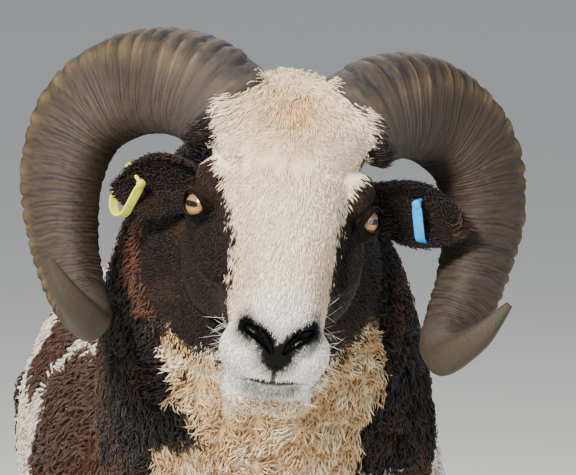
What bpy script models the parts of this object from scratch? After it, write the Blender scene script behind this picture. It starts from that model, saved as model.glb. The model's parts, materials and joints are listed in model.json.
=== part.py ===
"""A Jacob ram standing four-square, at life size, with its head turned a little to its right.

Metres, +Z up. The ram faces -Y and its left side is +X. The fleece is a core with rounded clumps,
and the whole body is modelled in one piece and then parted with thin cuts.
"""

import math
import random

import bmesh
import bpy
from mathutils import Matrix, Vector
from mathutils.bvhtree import BVHTree

# Driving sizes of the animal
GAP = 0.0003
LEFT, RIGHT = 1, -1
SIDES = {"right": RIGHT, "left": LEFT}

# Fleece: the clumps stand on a core that lies half the coat's depth below their tops
CLUMP_RISE = 0.026
CLUMP_SPACING = 0.082
CLUMP_WIDTH = 0.056
CLUMP_SPREAD = 0.16
CLUMP_SIDES = 5
CLUMP_SEED = 11
CLUMP_PROFILE = ((0.70, -0.70), (1.00, 0.05), (0.72, 0.74))
WOOL_FLOOR = 0.320
WOOL_TO_EYES = 0.165

# Triangles left in the smooth forms under the clumps and locks
CORE_TRIANGLES = 700
LIMB_TRIANGLES = 2000
HEAD_TRIANGLES = 1300

# Barrel, from the brisket to the rump: y, height of the middle, half width, half height
BARREL = [
    (-0.425, 0.515, 0.060, 0.075),
    (-0.405, 0.515, 0.115, 0.140),
    (-0.350, 0.515, 0.165, 0.190),
    (-0.260, 0.512, 0.198, 0.212),
    (-0.120, 0.506, 0.213, 0.215),
    (0.030, 0.502, 0.220, 0.212),
    (0.170, 0.508, 0.215, 0.203),
    (0.290, 0.525, 0.198, 0.188),
    (0.380, 0.540, 0.170, 0.165),
    (0.435, 0.550, 0.125, 0.125),
    (0.460, 0.552, 0.060, 0.065),
]

# Neck, from inside the shoulders to the poll: x, y, z, half width, half depth
NECK = [
    (-0.002, -0.250, 0.535, 0.172, 0.182),
    (-0.012, -0.340, 0.615, 0.176, 0.178),
    (-0.032, -0.420, 0.705, 0.166, 0.160),
    (-0.048, -0.487, 0.790, 0.146, 0.138),
    (-0.052, -0.532, 0.855, 0.114, 0.114),
    (-0.050, -0.566, 0.905, 0.074, 0.078),
]

# Forelimb and hind limb, from inside the body to the hoof: out, y, z, half width, half length
FORELEG = [
    (0.108, -0.235, 0.500, 0.060, 0.080),
    (0.106, -0.240, 0.420, 0.052, 0.068),
    (0.101, -0.245, 0.345, 0.036, 0.044),
    (0.098, -0.250, 0.285, 0.027, 0.031),
    (0.097, -0.254, 0.242, 0.026, 0.028),
    (0.096, -0.250, 0.212, 0.021, 0.022),
    (0.095, -0.247, 0.150, 0.0155, 0.0175),
    (0.095, -0.246, 0.108, 0.0175, 0.020),
    (0.095, -0.250, 0.086, 0.0225, 0.024),
    (0.096, -0.258, 0.064, 0.0215, 0.0215),
    (0.097, -0.266, 0.040, 0.0250, 0.0260),
    (0.097, -0.270, 0.025, 0.0220, 0.0220),
]
HINDLEG = [
    (0.118, 0.290, 0.560, 0.075, 0.120),
    (0.122, 0.280, 0.470, 0.070, 0.112),
    (0.118, 0.290, 0.390, 0.052, 0.080),
    (0.110, 0.325, 0.325, 0.033, 0.046),
    (0.105, 0.362, 0.270, 0.023, 0.032),
    (0.103, 0.378, 0.235, 0.0215, 0.031),
    (0.101, 0.372, 0.200, 0.019, 0.023),
    (0.099, 0.364, 0.150, 0.0165, 0.0195),
    (0.098, 0.360, 0.110, 0.0180, 0.021),
    (0.098, 0.354, 0.088, 0.0225, 0.0245),
    (0.099, 0.345, 0.066, 0.0215, 0.022),
    (0.100, 0.336, 0.040, 0.0250, 0.0260),
    (0.100, 0.332, 0.025, 0.0220, 0.0220),
]
LEG_TOP = 0.298
HOOF_TOP = 0.040
LEG_CUT_X = (0.040, 0.180)
LEG_CUT_REACH = 0.13
FORELEG_CUT_Y = -0.25
HINDLEG_CUT_Y = 0.34

# Tail, from inside the rump to its woolly end: y, z, half width, half depth
TAIL = [
    (0.400, 0.640, 0.030, 0.026),
    (0.455, 0.622, 0.034, 0.028),
    (0.488, 0.570, 0.037, 0.028),
    (0.500, 0.500, 0.036, 0.026),
    (0.503, 0.430, 0.033, 0.024),
    (0.502, 0.370, 0.027, 0.021),
    (0.500, 0.330, 0.014, 0.013),
]
TAIL_CUT = 0.478
TAIL_SHARE = 0.55
TAIL_CLUMPS_BELOW = 0.60
TAIL_INSET = 0.008
WIDER_THAN_BODY = 0.40
FOOT_CUT_MARGIN = 0.020
NECK_CUT = Vector((0.0, -0.335, 0.610))
NECK_CUT_SLOPE = math.radians(-48)

SCROTUM = Vector((0.0, 0.345, 0.330))
SCROTUM_RADII = (0.042, 0.040, 0.062)

# Cells of the smooth skins that join the rough forms
BODY_CELL = 0.0070
HEAD_CELL = 0.0032

# Head: the middle of the line between the eyes, how the head is held, and its half lengths
EYES = Vector((-0.050, -0.650, 0.865))
HEAD_YAW = math.radians(-5)
HEAD_ROLL = math.radians(6.4)
FACE_SLOPE = math.radians(53)
EYE_OUT = 0.0715
EYE_RADIUS = 0.0138
EYE_FORWARD = 0.004

# Sections of the head along the face: distance from the eye line towards the muzzle, top and
# bottom measured out from the line of the face, half width above and half width below
HEAD_SECTIONS = [
    (-0.132, 0.000, -0.070, 0.040, 0.045),
    (-0.115, 0.026, -0.092, 0.056, 0.064),
    (-0.085, 0.046, -0.116, 0.066, 0.076),
    (-0.050, 0.057, -0.132, 0.069, 0.082),
    (-0.015, 0.060, -0.138, 0.068, 0.081),
    (0.015, 0.059, -0.134, 0.063, 0.074),
    (0.048, 0.056, -0.118, 0.055, 0.062),
    (0.080, 0.050, -0.100, 0.048, 0.048),
    (0.105, 0.043, -0.088, 0.045, 0.041),
    (0.125, 0.032, -0.083, 0.045, 0.038),
    (0.142, 0.012, -0.083, 0.041, 0.038),
    (0.153, -0.012, -0.076, 0.029, 0.029),
    (0.159, -0.030, -0.062, 0.014, 0.012),
]

# A height over the face that clears the skin everywhere
ABOVE_FACE = 0.05

# Rounded forms that are set on the head: name, out, along the face, above it, and the three radii
HEAD_FORMS = [
    ("brow", 0.0580, -0.020, 0.012, 0.0220, 0.0270, 0.0220),
    ("cheekbone", 0.0550, 0.026, -0.016, 0.0210, 0.0420, 0.0200),
    ("jaw muscle", 0.0460, 0.000, -0.072, 0.0370, 0.0640, 0.0560),
    ("upper lip", 0.0250, 0.126, -0.018, 0.0240, 0.0270, 0.0290),
    ("nostril wing", 0.0190, 0.126, 0.012, 0.0135, 0.0190, 0.0140),
    ("lower lip", 0.0150, 0.134, -0.060, 0.0240, 0.0240, 0.0220),
    ("forehead", 0.0000, -0.076, 0.040, 0.0620, 0.0520, 0.0340),
]

# Horn of the left side in the head's own frame: x, y, z, breadth, thickness
HORN = [
    (0.044, 0.012, 0.064, 0.084, 0.060),
    (0.066, 0.020, 0.092, 0.095, 0.064),
    (0.100, 0.047, 0.102, 0.096, 0.067),
    (0.139, 0.082, 0.092, 0.093, 0.068),
    (0.176, 0.097, 0.060, 0.086, 0.066),
    (0.191, 0.095, 0.009, 0.074, 0.062),
    (0.185, 0.082, -0.048, 0.060, 0.056),
    (0.170, 0.060, -0.093, 0.050, 0.048),
    (0.160, 0.026, -0.110, 0.042, 0.042),
    (0.162, -0.012, -0.106, 0.034, 0.034),
    (0.181, -0.038, -0.084, 0.024, 0.023),
    (0.201, -0.047, -0.054, 0.009, 0.008),
]
HORN_SIDES = 12
HORN_RIDGES = 20
HORN_RIDGE_HEIGHT = 0.030
HORN_SQUARENESS = 2.7
HORN_KEEL = 0.08
HORN_KEEL_ANGLE = math.radians(42)
HORN_RIDGE_FADE = 0.6
HORN_OUTWARD = (-0.75, -0.25, 0.60)

# Eyelids: how far they stand over the eye, the opening's half width and half height, and where
# the opening looks, as out, forward and up in the head's frame
LID_THICKNESS = 0.0034
LID_REACH = ((0.0, 0.8), (EYE_RADIUS, 1.0), (0.045, 1.5))
LID_OPENING = (0.0150, 0.0098)
EYE_LOOKS = (0.800, 0.580, 0.120)

# Mouth and nose grooves in the face: out, along, above
MOUTH = [(0.0460, 0.082, -0.050), (0.0430, 0.108, -0.044), (0.0320, 0.134, -0.035),
         (0.0170, 0.151, -0.0240), (0.0000, 0.156, -0.0225)]
MOUTH_RADIUS = 0.0016
PHILTRUM = [(0.0, 0.156, -0.0235), (0.0, 0.152, -0.0125), (0.0, 0.148, -0.0040)]
PHILTRUM_RADIUS = 0.0013
NOSTRIL = (0.0175, 0.136, 0.022)
NOSTRIL_RADII = (0.0050, 0.0120, 0.0105)
NOSTRIL_TURN = math.radians(38)

# Ears in the head's frame: root, where each one points and the size of the leaf. The right ear
# is held folded, so it is shorter.
EAR_ROOT = (0.060, 0.040, 0.014)
EAR_POINTS = {"right": (0.88, 0.28, -0.05), "left": (0.98, 0.00, -0.06)}
EAR_LENGTH = {"right": 0.092, "left": 0.114}
EAR_HALF_WIDTH = 0.031
EAR_THICKNESS = 0.0042
EAR_RINGS = 9
EAR_STEPS = 6
EAR_DROOP = 0.010
EAR_OPENS = (0.10, -0.93, -0.25)
EAR_LIP = 0.93
EAR_LEAF = [(0.0, 0.42, 115), (0.12, 0.50, 105), (0.28, 0.78, 72), (0.45, 0.98, 50),
            (0.62, 0.98, 42), (0.78, 0.76, 38), (0.90, 0.46, 36), (0.98, 0.18, 34)]

# Ear tags: loops of moulded strip round the lower edge of each ear. Where the pin goes through,
# as shares along and across the leaf, and how far the loop leans and swings outwards
TAG_WIDTH = 0.0095
TAG_THICKNESS = 0.0022
TAG_PIN = {"right": (0.78, 0.40), "left": (0.58, 0.40)}
TAG_LEAN = {"right": math.radians(27), "left": math.radians(17)}
TAG_SWING = {"right": math.radians(46), "left": math.radians(26)}
TAG_DROP = 0.042
TAG_HALF_GAP = 0.0130
TAG_TURNS = 8
TAG_PIN_RADIUS = 0.0040

# Forelock: rows of flat tapered locks over the poll, as along the face, with the half spread
FORELOCK_ROWS = [(-0.114, 0.020), (-0.096, 0.036), (-0.078, 0.048), (-0.060, 0.056),
                 (-0.042, 0.058)]
FORELOCK_STEP = 0.027
FORELOCK_FAN = 9.0
FORELOCK_TURN = 0.15
FORELOCK_SEED = 5
LOCK_LENGTH = 0.038
LOCK_WIDTH = 0.0165
LOCK_THICKNESS = 0.0058
LOCK_SIDES = 4

# A lock's path from under the skin to its tip, in its own length: along its lie, away from the
# skin, and its share of the full width
LOCK_PATH = [(-0.20, -0.12, 0.90), (0.25, 0.14, 1.00), (0.68, 0.19, 0.78), (1.00, 0.10, 0.16)]

# Claws: from the sole up: height, half width, half length, and how far back the middle sits
CLAW = [(0.000, 0.0118, 0.0285, -0.006), (0.007, 0.0122, 0.0280, -0.004),
        (0.024, 0.0118, 0.0245, 0.001), (HOOF_TOP - GAP, 0.0110, 0.0215, 0.005)]
CLAW_SPLIT = 0.0130
CLAW_LEAN = 0.0006
DEWCLAW = (0.0105, 0.0390, 0.083)
DEWCLAW_RADII = (0.0048, 0.0062, 0.0088)


def clear_scene():
    for obj in list(bpy.data.objects):
        bpy.data.objects.remove(obj, do_unlink=True)


def make_material(name, colour, roughness, metallic=0.0):
    material = bpy.data.materials.new(name)
    material.use_nodes = True
    shader = material.node_tree.nodes["Principled BSDF"]
    shader.inputs["Base Color"].default_value = (*colour, 1.0)
    shader.inputs["Roughness"].default_value = roughness
    shader.inputs["Metallic"].default_value = metallic
    return material


def add_object(name, bm):
    mesh = bpy.data.meshes.new(name)
    bm.to_mesh(mesh)
    bm.free()
    obj = bpy.data.objects.new(name, mesh)
    bpy.context.scene.collection.objects.link(obj)
    return obj


def smooth_rows(rows, count):
    """Rows of numbers read off a Catmull-Rom curve through the given rows."""
    last = len(rows) - 1
    found = []
    for i in range(count):
        place = last * i / (count - 1)
        k = min(int(place), last - 1)
        t = place - k
        a, b, c, d = (rows[min(max(k + j, 0), last)] for j in (-1, 0, 1, 2))
        found.append([
            0.5 * (2 * q + (r - p) * t + (2 * p - 5 * q + 4 * r - s) * t * t
                   + (3 * q - p - 3 * r + s) * t ** 3)
            for p, q, r, s in zip(a, b, c, d)
        ])
    return found


def add_loft(name, rings):
    """A closed skin through rings of points, with a flat cap on each end."""
    bm = bmesh.new()
    loops = [[bm.verts.new(point) for point in ring] for ring in rings]
    for low, high in zip(loops, loops[1:]):
        for i in range(len(low)):
            j = (i + 1) % len(low)
            bm.faces.new((low[i], low[j], high[j], high[i]))
    bm.faces.new(reversed(loops[0]))
    bm.faces.new(loops[-1])
    bmesh.ops.recalc_face_normals(bm, faces=bm.faces)
    return add_object(name, bm)


def oval(centre, across, along, sides, squareness=2.0):
    """A ring of points: an ellipse at squareness 2, and a rounded rectangle above that."""
    power = 2 / squareness
    ring = []
    for i in range(sides):
        angle = 2 * math.pi * i / sides
        c, s = math.cos(angle), math.sin(angle)
        ring.append(centre + across * math.copysign(abs(c) ** power, c)
                    + along * math.copysign(abs(s) ** power, s))
    return ring


def add_ellipsoid(name, centre, radii, turn=None, sides=24):
    bm = bmesh.new()
    bmesh.ops.create_uvsphere(bm, u_segments=sides, v_segments=sides // 2, radius=1.0)
    turn = turn.to_4x4() if turn else Matrix.Identity(4)
    bm.transform(Matrix.Translation(centre) @ turn @ Matrix.Diagonal((*radii, 1.0)))
    return add_object(name, bm)


def apply_modifiers(obj):
    graph = bpy.context.evaluated_depsgraph_get()
    mesh = bpy.data.meshes.new_from_object(obj.evaluated_get(graph))
    obj.modifiers.clear()
    obj.data = mesh


def remove_objects(objects):
    for obj in objects:
        bpy.data.objects.remove(obj, do_unlink=True)


def combine(obj, operation, others, solver="MANIFOLD"):
    """One Boolean of obj with all the others, which are then removed."""
    group = bpy.data.collections.new("operands")
    bpy.context.scene.collection.children.link(group)
    for other in others:
        group.objects.link(other)
    modifier = obj.modifiers.new("combine", "BOOLEAN")
    modifier.operation = operation
    modifier.operand_type = "COLLECTION"
    modifier.collection = group
    modifier.solver = solver
    apply_modifiers(obj)
    remove_objects(others)
    bpy.data.collections.remove(group)


def copy_of(obj, name):
    twin = bpy.data.objects.new(name, obj.data.copy())
    bpy.context.scene.collection.objects.link(twin)
    return twin


def keep_largest(obj):
    """Deletes every closed surface of the mesh but the one with the most faces."""
    bm = bmesh.new()
    bm.from_mesh(obj.data)
    left = set(bm.faces)
    surfaces = []
    while left:
        surface, front = [], [left.pop()]
        while front:
            face = front.pop()
            surface.append(face)
            for other in (link for edge in face.edges for link in edge.link_faces):
                if other in left:
                    left.discard(other)
                    front.append(other)
        surfaces.append(surface)
    surfaces.sort(key=len)
    loose = [face for surface in surfaces[:-1] for face in surface]
    bmesh.ops.delete(bm, geom=loose, context="FACES")
    bm.to_mesh(obj.data)
    bm.free()


def fuse(name, pieces, cell, passes):
    """Closed pieces that overlap become one smooth skin."""
    bm = bmesh.new()
    for piece in pieces:
        bm.from_mesh(piece.data)
    remove_objects(pieces)
    obj = add_object(name, bm)
    remesh = obj.modifiers.new("remesh", "REMESH")
    remesh.mode = "VOXEL"
    remesh.voxel_size = cell
    relax = obj.modifiers.new("relax", "SMOOTH")
    relax.iterations = passes
    relax.factor = 0.5
    apply_modifiers(obj)
    return obj


def thin_out(obj, triangles):
    """Leaves about that many triangles, most of them where the surface bends."""
    obj.data.calc_loop_triangles()
    thin = obj.modifiers.new("thin", "DECIMATE")
    thin.ratio = triangles / len(obj.data.loop_triangles)
    thin.use_collapse_triangulate = True
    apply_modifiers(obj)
    return obj


def head_matrix():
    return (Matrix.Translation(EYES) @ Matrix.Rotation(HEAD_YAW, 4, "Z")
            @ Matrix.Rotation(HEAD_ROLL, 4, "Y"))


def face_turn():
    """Axes of the face in the head's frame: across, back up the face, and out of it."""
    c, s = math.cos(FACE_SLOPE), math.sin(FACE_SLOPE)
    return Matrix(((1, 0, 0), (0, c, -s), (0, s, c)))


def face_point(out, along, above):
    """A place on the head: out from the middle, towards the muzzle and out of the face."""
    return head_matrix() @ (face_turn() @ Vector((out, -along, above)))


def face_rotation():
    return head_matrix().to_3x3() @ face_turn()


def head_ring(along, top, bottom, width_top, width_bottom, sides=32):
    ring = []
    for i in range(sides):
        angle = 2 * math.pi * i / sides
        c, s = math.cos(angle), math.sin(angle)
        share = (1 - c) / 2
        width = width_top * (1 - share) + width_bottom * share
        height = (top + bottom) / 2 + (top - bottom) / 2 * math.copysign(abs(c) ** 0.9, c)
        ring.append(face_point(width * math.copysign(abs(s) ** 0.8, s), along, height))
    return ring


def limb_ring(side, row, sides=20):
    out, y, z, half_width, half_length = row
    return oval(Vector((side * out, y, z)), Vector((half_width, 0, 0)),
                Vector((0, half_length, 0)), sides)


def path_rings(rows, sides, inset=0.0):
    """Rings across a path in space, whose last two numbers are half width and half depth."""
    points = [Vector(row[:3]) for row in rows]
    rings = []
    for i, row in enumerate(rows):
        along = (points[min(i + 1, len(rows) - 1)] - points[max(i - 1, 0)]).normalized()
        across = Vector((1, 0, 0))
        across = (across - along * across.dot(along)).normalized()
        up = along.cross(across)
        rings.append(oval(points[i], across * (row[3] - inset), up * (row[4] - inset), sides, 2.2))
    return rings


def make_body_core():
    """Barrel, neck, limbs and tail as one skin, inset where the clumps will stand on it."""
    barrel = [oval(Vector((0, y, z)), Vector((half_width - CLUMP_RISE, 0, 0)),
                   Vector((0, 0, half_height - CLUMP_RISE)), 40, 2.25)
              for y, z, half_width, half_height in smooth_rows(BARREL, 40)]
    pieces = [add_loft("barrel", barrel),
              add_loft("neck core", path_rings(smooth_rows(NECK, 24), 32, CLUMP_RISE))]
    tail = [(0.0, y, z, half_width, half_depth) for y, z, half_width, half_depth in TAIL]
    pieces.append(add_loft("tail core", path_rings(smooth_rows(tail, 24), 20, TAIL_INSET)))
    for side in SIDES.values():
        for limb in (FORELEG, HINDLEG):
            pieces.append(add_loft("limb", [limb_ring(side, row) for row in smooth_rows(limb, 60)]))
    pieces.append(add_ellipsoid("scrotum", SCROTUM, SCROTUM_RADII))
    return fuse("body", pieces, BODY_CELL, 10)


def even_points(obj, spacing, seed, allowed):
    """Points spread evenly over a mesh at least that far apart, with their normals."""
    draw = random.Random(seed)
    mesh = obj.data
    mesh.calc_loop_triangles()
    corners = [[mesh.vertices[k].co.copy() for k in t.vertices] for t in mesh.loop_triangles]
    normals = [t.normal.copy() for t in mesh.loop_triangles]
    areas = [t.area for t in mesh.loop_triangles]
    tries = int(12 * sum(areas) / spacing ** 2)
    cells, found = {}, []
    for k in draw.choices(range(len(areas)), areas, k=tries):
        a, b, c = corners[k]
        u, v = draw.random(), draw.random()
        if u + v > 1:
            u, v = 1 - u, 1 - v
        point = a + (b - a) * u + (c - a) * v
        if not allowed(point):
            continue
        key = tuple(int(q // spacing) for q in point)
        near = (p for i in (-1, 0, 1) for j in (-1, 0, 1) for m in (-1, 0, 1)
                for p in cells.get((key[0] + i, key[1] + j, key[2] + m), ()))
        if all((p - point).length > spacing for p in near):
            cells.setdefault(key, []).append(point)
            found.append((point, normals[k]))
    return found


def add_clump(point, normal, width, rise, turn):
    """A dome of wool, rooted well below the core's surface."""
    bm = bmesh.new()
    loops = []
    for k, (share, height) in enumerate(CLUMP_PROFILE):
        angles = (2 * math.pi * (i + k / 2) / CLUMP_SIDES for i in range(CLUMP_SIDES))
        loops.append([bm.verts.new((width * share * math.cos(a), width * share * math.sin(a),
                                    height * rise)) for a in angles])
    top = bm.verts.new((0, 0, rise))
    for low, high in zip(loops, loops[1:]):
        for i in range(CLUMP_SIDES):
            j = (i + 1) % CLUMP_SIDES
            bm.faces.new((low[i], low[j], high[i]))
            bm.faces.new((low[j], high[j], high[i]))
    for i in range(CLUMP_SIDES):
        bm.faces.new((loops[-1][i], loops[-1][(i + 1) % CLUMP_SIDES], top))
    bm.faces.new(reversed(loops[0]))
    facing = normal.to_track_quat("Z", "Y").to_matrix().to_4x4()
    bm.transform(Matrix.Translation(point) @ facing @ Matrix.Rotation(turn, 4, "Z"))
    return add_object("clump", bm)


def is_woolly(point):
    """Wool grows above the knees and hocks, and stops short of the ears."""
    return point.z > WOOL_FLOOR and (point - EYES).length > WOOL_TO_EYES


def add_fleece(body):
    draw = random.Random(CLUMP_SEED)
    clumps = []
    for point, normal in even_points(body, CLUMP_SPACING, CLUMP_SEED, is_woolly):
        on_tail = point.y > TAIL_CUT and point.z < TAIL_CLUMPS_BELOW
        small = TAIL_SHARE if on_tail else 1.0
        width = CLUMP_WIDTH * small * draw.uniform(1 - CLUMP_SPREAD, 1 + CLUMP_SPREAD)
        rise = CLUMP_RISE * small * draw.uniform(1 - CLUMP_SPREAD, 1)
        clumps.append(add_clump(point, normal, width, rise, draw.uniform(0, math.pi)))
    combine(body, "UNION", clumps)
    keep_largest(body)


def add_block(name, low, high):
    bm = bmesh.new()
    bmesh.ops.create_cube(bm, size=1.0)
    size = Vector(high) - Vector(low)
    bm.transform(Matrix.Translation((Vector(low) + Vector(high)) / 2)
                 @ Matrix.Diagonal((*size, 1.0)))
    return add_object(name, bm)


def part_off(whole, name, make_block, finer=None):
    """Takes the part of whole inside a block as its own object, with a thin cut round it."""
    node = copy_of(finer or whole, name)
    combine(node, "INTERSECT", [make_block(0.0)])
    keep_largest(node)
    combine(whole, "DIFFERENCE", [make_block(GAP)])
    return node


def leg_block(side, middle_y):
    def block(grow):
        low_x, high_x = sorted(side * x for x in LEG_CUT_X)
        reach = LEG_CUT_REACH + grow
        return add_block("leg block", (low_x - grow, middle_y - reach, HOOF_TOP),
                         (high_x + grow, middle_y + reach, LEG_TOP + grow))
    return block


def foot_block():
    """The ends of the limbs, where the claws stand in their place."""
    wide = WIDER_THAN_BODY
    return add_block("foot block", (-wide, -1.0, -wide), (wide, 1.0, HOOF_TOP + FOOT_CUT_MARGIN))


def tail_block(grow):
    wide = WIDER_THAN_BODY
    return add_block("tail block", (-wide, TAIL_CUT - grow, 0.0), (wide, 1.0, 1.0))


def neck_block(grow):
    """Everything in front of the line where the neck leaves the shoulders."""
    wide = WIDER_THAN_BODY
    block = add_block("neck block", (-wide, -1.0, -1.0), (wide, grow, 1.0))
    place = Matrix.Translation(NECK_CUT) @ Matrix.Rotation(NECK_CUT_SLOPE, 4, "X")
    block.data.transform(place)
    return block


def grown(obj, by=2.2 * GAP):
    twin = copy_of(obj, "grown " + obj.name)
    moved = [vert.co + vert.normal * by for vert in twin.data.vertices]
    for vert, place in zip(twin.data.vertices, moved):
        vert.co = place
    return twin


def seat(host, *guests):
    """Cuts the host clear of each guest that it meets, with a thin gap all round."""
    for guest in guests:
        combine(host, "DIFFERENCE", [grown(guest)])
    keep_largest(host)


def add_head_mass():
    """Skull, jaw and muzzle as one smooth skin."""
    rings = [head_ring(*row) for row in smooth_rows(HEAD_SECTIONS, 44)]
    pieces = [add_loft("skull", rings)]
    for name, out, along, above, *radii in HEAD_FORMS:
        for place in sorted({RIGHT * out, LEFT * out}):
            pieces.append(add_ellipsoid(name, face_point(place, along, above),
                                        radii, face_rotation()))
    return thin_out(fuse("head", pieces, HEAD_CELL, 8), HEAD_TRIANGLES)


def add_lock(root, normal, lie):
    """A flat tapered lock that leaves the skin and bends over along its lie."""
    across = normal.cross(lie).normalized()
    rings = []
    for reach, lift, share in LOCK_PATH:
        centre = root + (lie * reach + normal * lift) * LOCK_LENGTH
        rings.append(oval(centre, across * LOCK_WIDTH * share, normal * LOCK_THICKNESS * share,
                          LOCK_SIDES))
    return add_loft("lock", rings)


def add_forelock(head):
    """Rows of locks over the poll that lie down the face, each row on the roots of the next."""
    tree = BVHTree.FromObject(head, bpy.context.evaluated_depsgraph_get())
    down_face = face_rotation() @ Vector((0, -1, 0))
    sideways = face_rotation() @ Vector((1, 0, 0))
    draw = random.Random(FORELOCK_SEED)
    locks = []
    for along, spread in FORELOCK_ROWS:
        count = round(2 * spread / FORELOCK_STEP) + 1
        for k in range(count):
            out = (k - (count - 1) / 2) * FORELOCK_STEP
            root, normal, *rest = tree.find_nearest(face_point(out, along, ABOVE_FACE))
            turn = draw.uniform(-FORELOCK_TURN, FORELOCK_TURN)
            lie = down_face + sideways * (out * FORELOCK_FAN + turn)
            lie = (lie - normal * lie.dot(normal)).normalized()
            locks.append(add_lock(root, normal, lie))
    combine(head, "UNION", locks)


def eye_centre(side):
    return head_matrix() @ Vector((side * EYE_OUT, EYE_FORWARD, 0))


def eye_axis(side):
    out, forward, up = EYE_LOOKS
    return (head_matrix().to_3x3() @ Vector((side * out, -forward, up))).normalized()


def add_lid_opening(side):
    """An almond prism out of the eye's middle, which opens the lids."""
    axis = eye_axis(side)
    level = head_matrix().to_3x3() @ Vector((0, 0, 1))
    across = axis.cross(level).normalized()
    up = across.cross(axis)
    centre = eye_centre(side)
    rings = [oval(centre + axis * reach, across * LID_OPENING[0] * flare,
                  up * LID_OPENING[1] * flare, 12, 1.75)
             for reach, flare in LID_REACH]
    return add_loft("lid opening", rings)


def add_groove(host, points, radius):
    """A tube along the points, each one moved to the nearest place on the host's skin."""
    graph = bpy.context.evaluated_depsgraph_get()
    tree = BVHTree.FromObject(host, graph)
    path = [tree.find_nearest(face_point(*row))[0] for row in smooth_rows(points, 13)]
    rings = []
    for i, point in enumerate(path):
        along = (path[min(i + 1, len(path) - 1)] - path[max(i - 1, 0)]).normalized()
        across = along.orthogonal().normalized()
        rings.append(oval(point, across * radius, along.cross(across) * radius, 4))
    return add_loft("groove", rings)


def add_nostril(side):
    turn = face_rotation() @ Matrix.Rotation(side * NOSTRIL_TURN, 3, "Y")
    out, along, above = NOSTRIL
    return add_ellipsoid("nostril", face_point(side * out, along, above),
                         NOSTRIL_RADII, turn, 10)


def add_eye(name, side):
    return add_ellipsoid("eye_" + name, eye_centre(side), [EYE_RADIUS] * 3, None, 10)


def carve_face(head):
    """Lids, nostrils, the line of the mouth and the groove under the nose."""
    lids = [add_ellipsoid("lids", eye_centre(side), [EYE_RADIUS + LID_THICKNESS] * 3, None, 12)
            for side in SIDES.values()]
    combine(head, "UNION", lids)
    mirrored = [(-out, along, above) for out, along, above in reversed(MOUTH[:-1])]
    cutters = [add_groove(head, MOUTH + mirrored, MOUTH_RADIUS),
               add_groove(head, PHILTRUM, PHILTRUM_RADIUS)]
    for side in SIDES.values():
        cutters += [add_lid_opening(side), add_nostril(side)]
    combine(head, "DIFFERENCE", cutters)


def horn_ring(centre, outward, forward, breadth, thickness):
    """A rounded rectangle with a keel on its outer front corner."""
    ring = oval(Vector(), outward * breadth / 2, forward * thickness / 2, HORN_SIDES,
                HORN_SQUARENESS)
    for i in range(HORN_SIDES):
        angle = 2 * math.pi * i / HORN_SIDES
        ring[i] *= 1 + HORN_KEEL * max(0.0, math.cos(angle - HORN_KEEL_ANGLE)) ** 6
    return [centre + point for point in ring]


def add_horn(name, side):
    """A ribbed horn: sections carried along its path without twisting, swelling at each ridge."""
    rows = smooth_rows(HORN, 2 * HORN_RIDGES + 1)
    points = [Vector((side * x, y, z)) for x, y, z, *sizes in rows]
    outward = Vector((side * HORN_OUTWARD[0], *HORN_OUTWARD[1:]))
    rings = []
    for i, row in enumerate(rows):
        along = (points[min(i + 1, len(rows) - 1)] - points[max(i - 1, 0)]).normalized()
        outward = (outward - along * outward.dot(along)).normalized()
        fade = 1 - HORN_RIDGE_FADE * i / len(rows)
        swell = 1 + HORN_RIDGE_HEIGHT * fade * (1 if i % 2 else -1)
        rings.append(horn_ring(points[i], outward, along.cross(outward) * side,
                               row[3] * swell, row[4] * swell))
    horn = add_loft("horn_" + name, rings)
    horn.data.transform(head_matrix())
    return horn


def ear_frame(name):
    """Root, direction, the way across the leaf and the way that the cup opens."""
    side = SIDES[name]
    out, back, up = EAR_POINTS[name]
    along = Vector((side * out, back, up)).normalized()
    opens = Vector((side * EAR_OPENS[0], *EAR_OPENS[1:]))
    opens = (opens - along * opens.dot(along)).normalized()
    across = opens.cross(along) * side
    root = Vector((side * EAR_ROOT[0], EAR_ROOT[1], EAR_ROOT[2]))
    return root, along, across, opens


def ear_place(name, share, width, curl, angle, depth):
    """A place on the cupped leaf, at an angle across it and a depth in from its back."""
    root, along, across, opens = ear_frame(name)
    reach = math.radians(curl)
    radius = EAR_HALF_WIDTH * width / math.sin(min(reach, math.pi / 2))
    bend = Vector((0, 0, -EAR_DROOP)) * share ** 2
    middle = root + along * EAR_LENGTH[name] * share + opens * radius * math.cos(reach) + bend
    turn = angle * reach
    return middle + (across * math.sin(turn) - opens * math.cos(turn)) * (radius - depth)


def add_ear(name):
    rings = []
    swing = [2 * k / (EAR_STEPS - 1) - 1 for k in range(EAR_STEPS)]
    for share, width, curl in smooth_rows(EAR_LEAF, EAR_RINGS):
        back = [ear_place(name, share, width, curl, angle, 0.0) for angle in swing]
        front = [ear_place(name, share, width, curl, angle * EAR_LIP, EAR_THICKNESS)
                 for angle in reversed(swing)]
        rings.append(back + front)
    ear = add_loft("ear_" + name, rings)
    ear.data.transform(head_matrix())
    return ear


def leaf_size(share):
    """Width and curl of the leaf at a share of its length."""
    return next(row[1:] for row in smooth_rows(EAR_LEAF, 60) if row[0] >= share)


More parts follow.
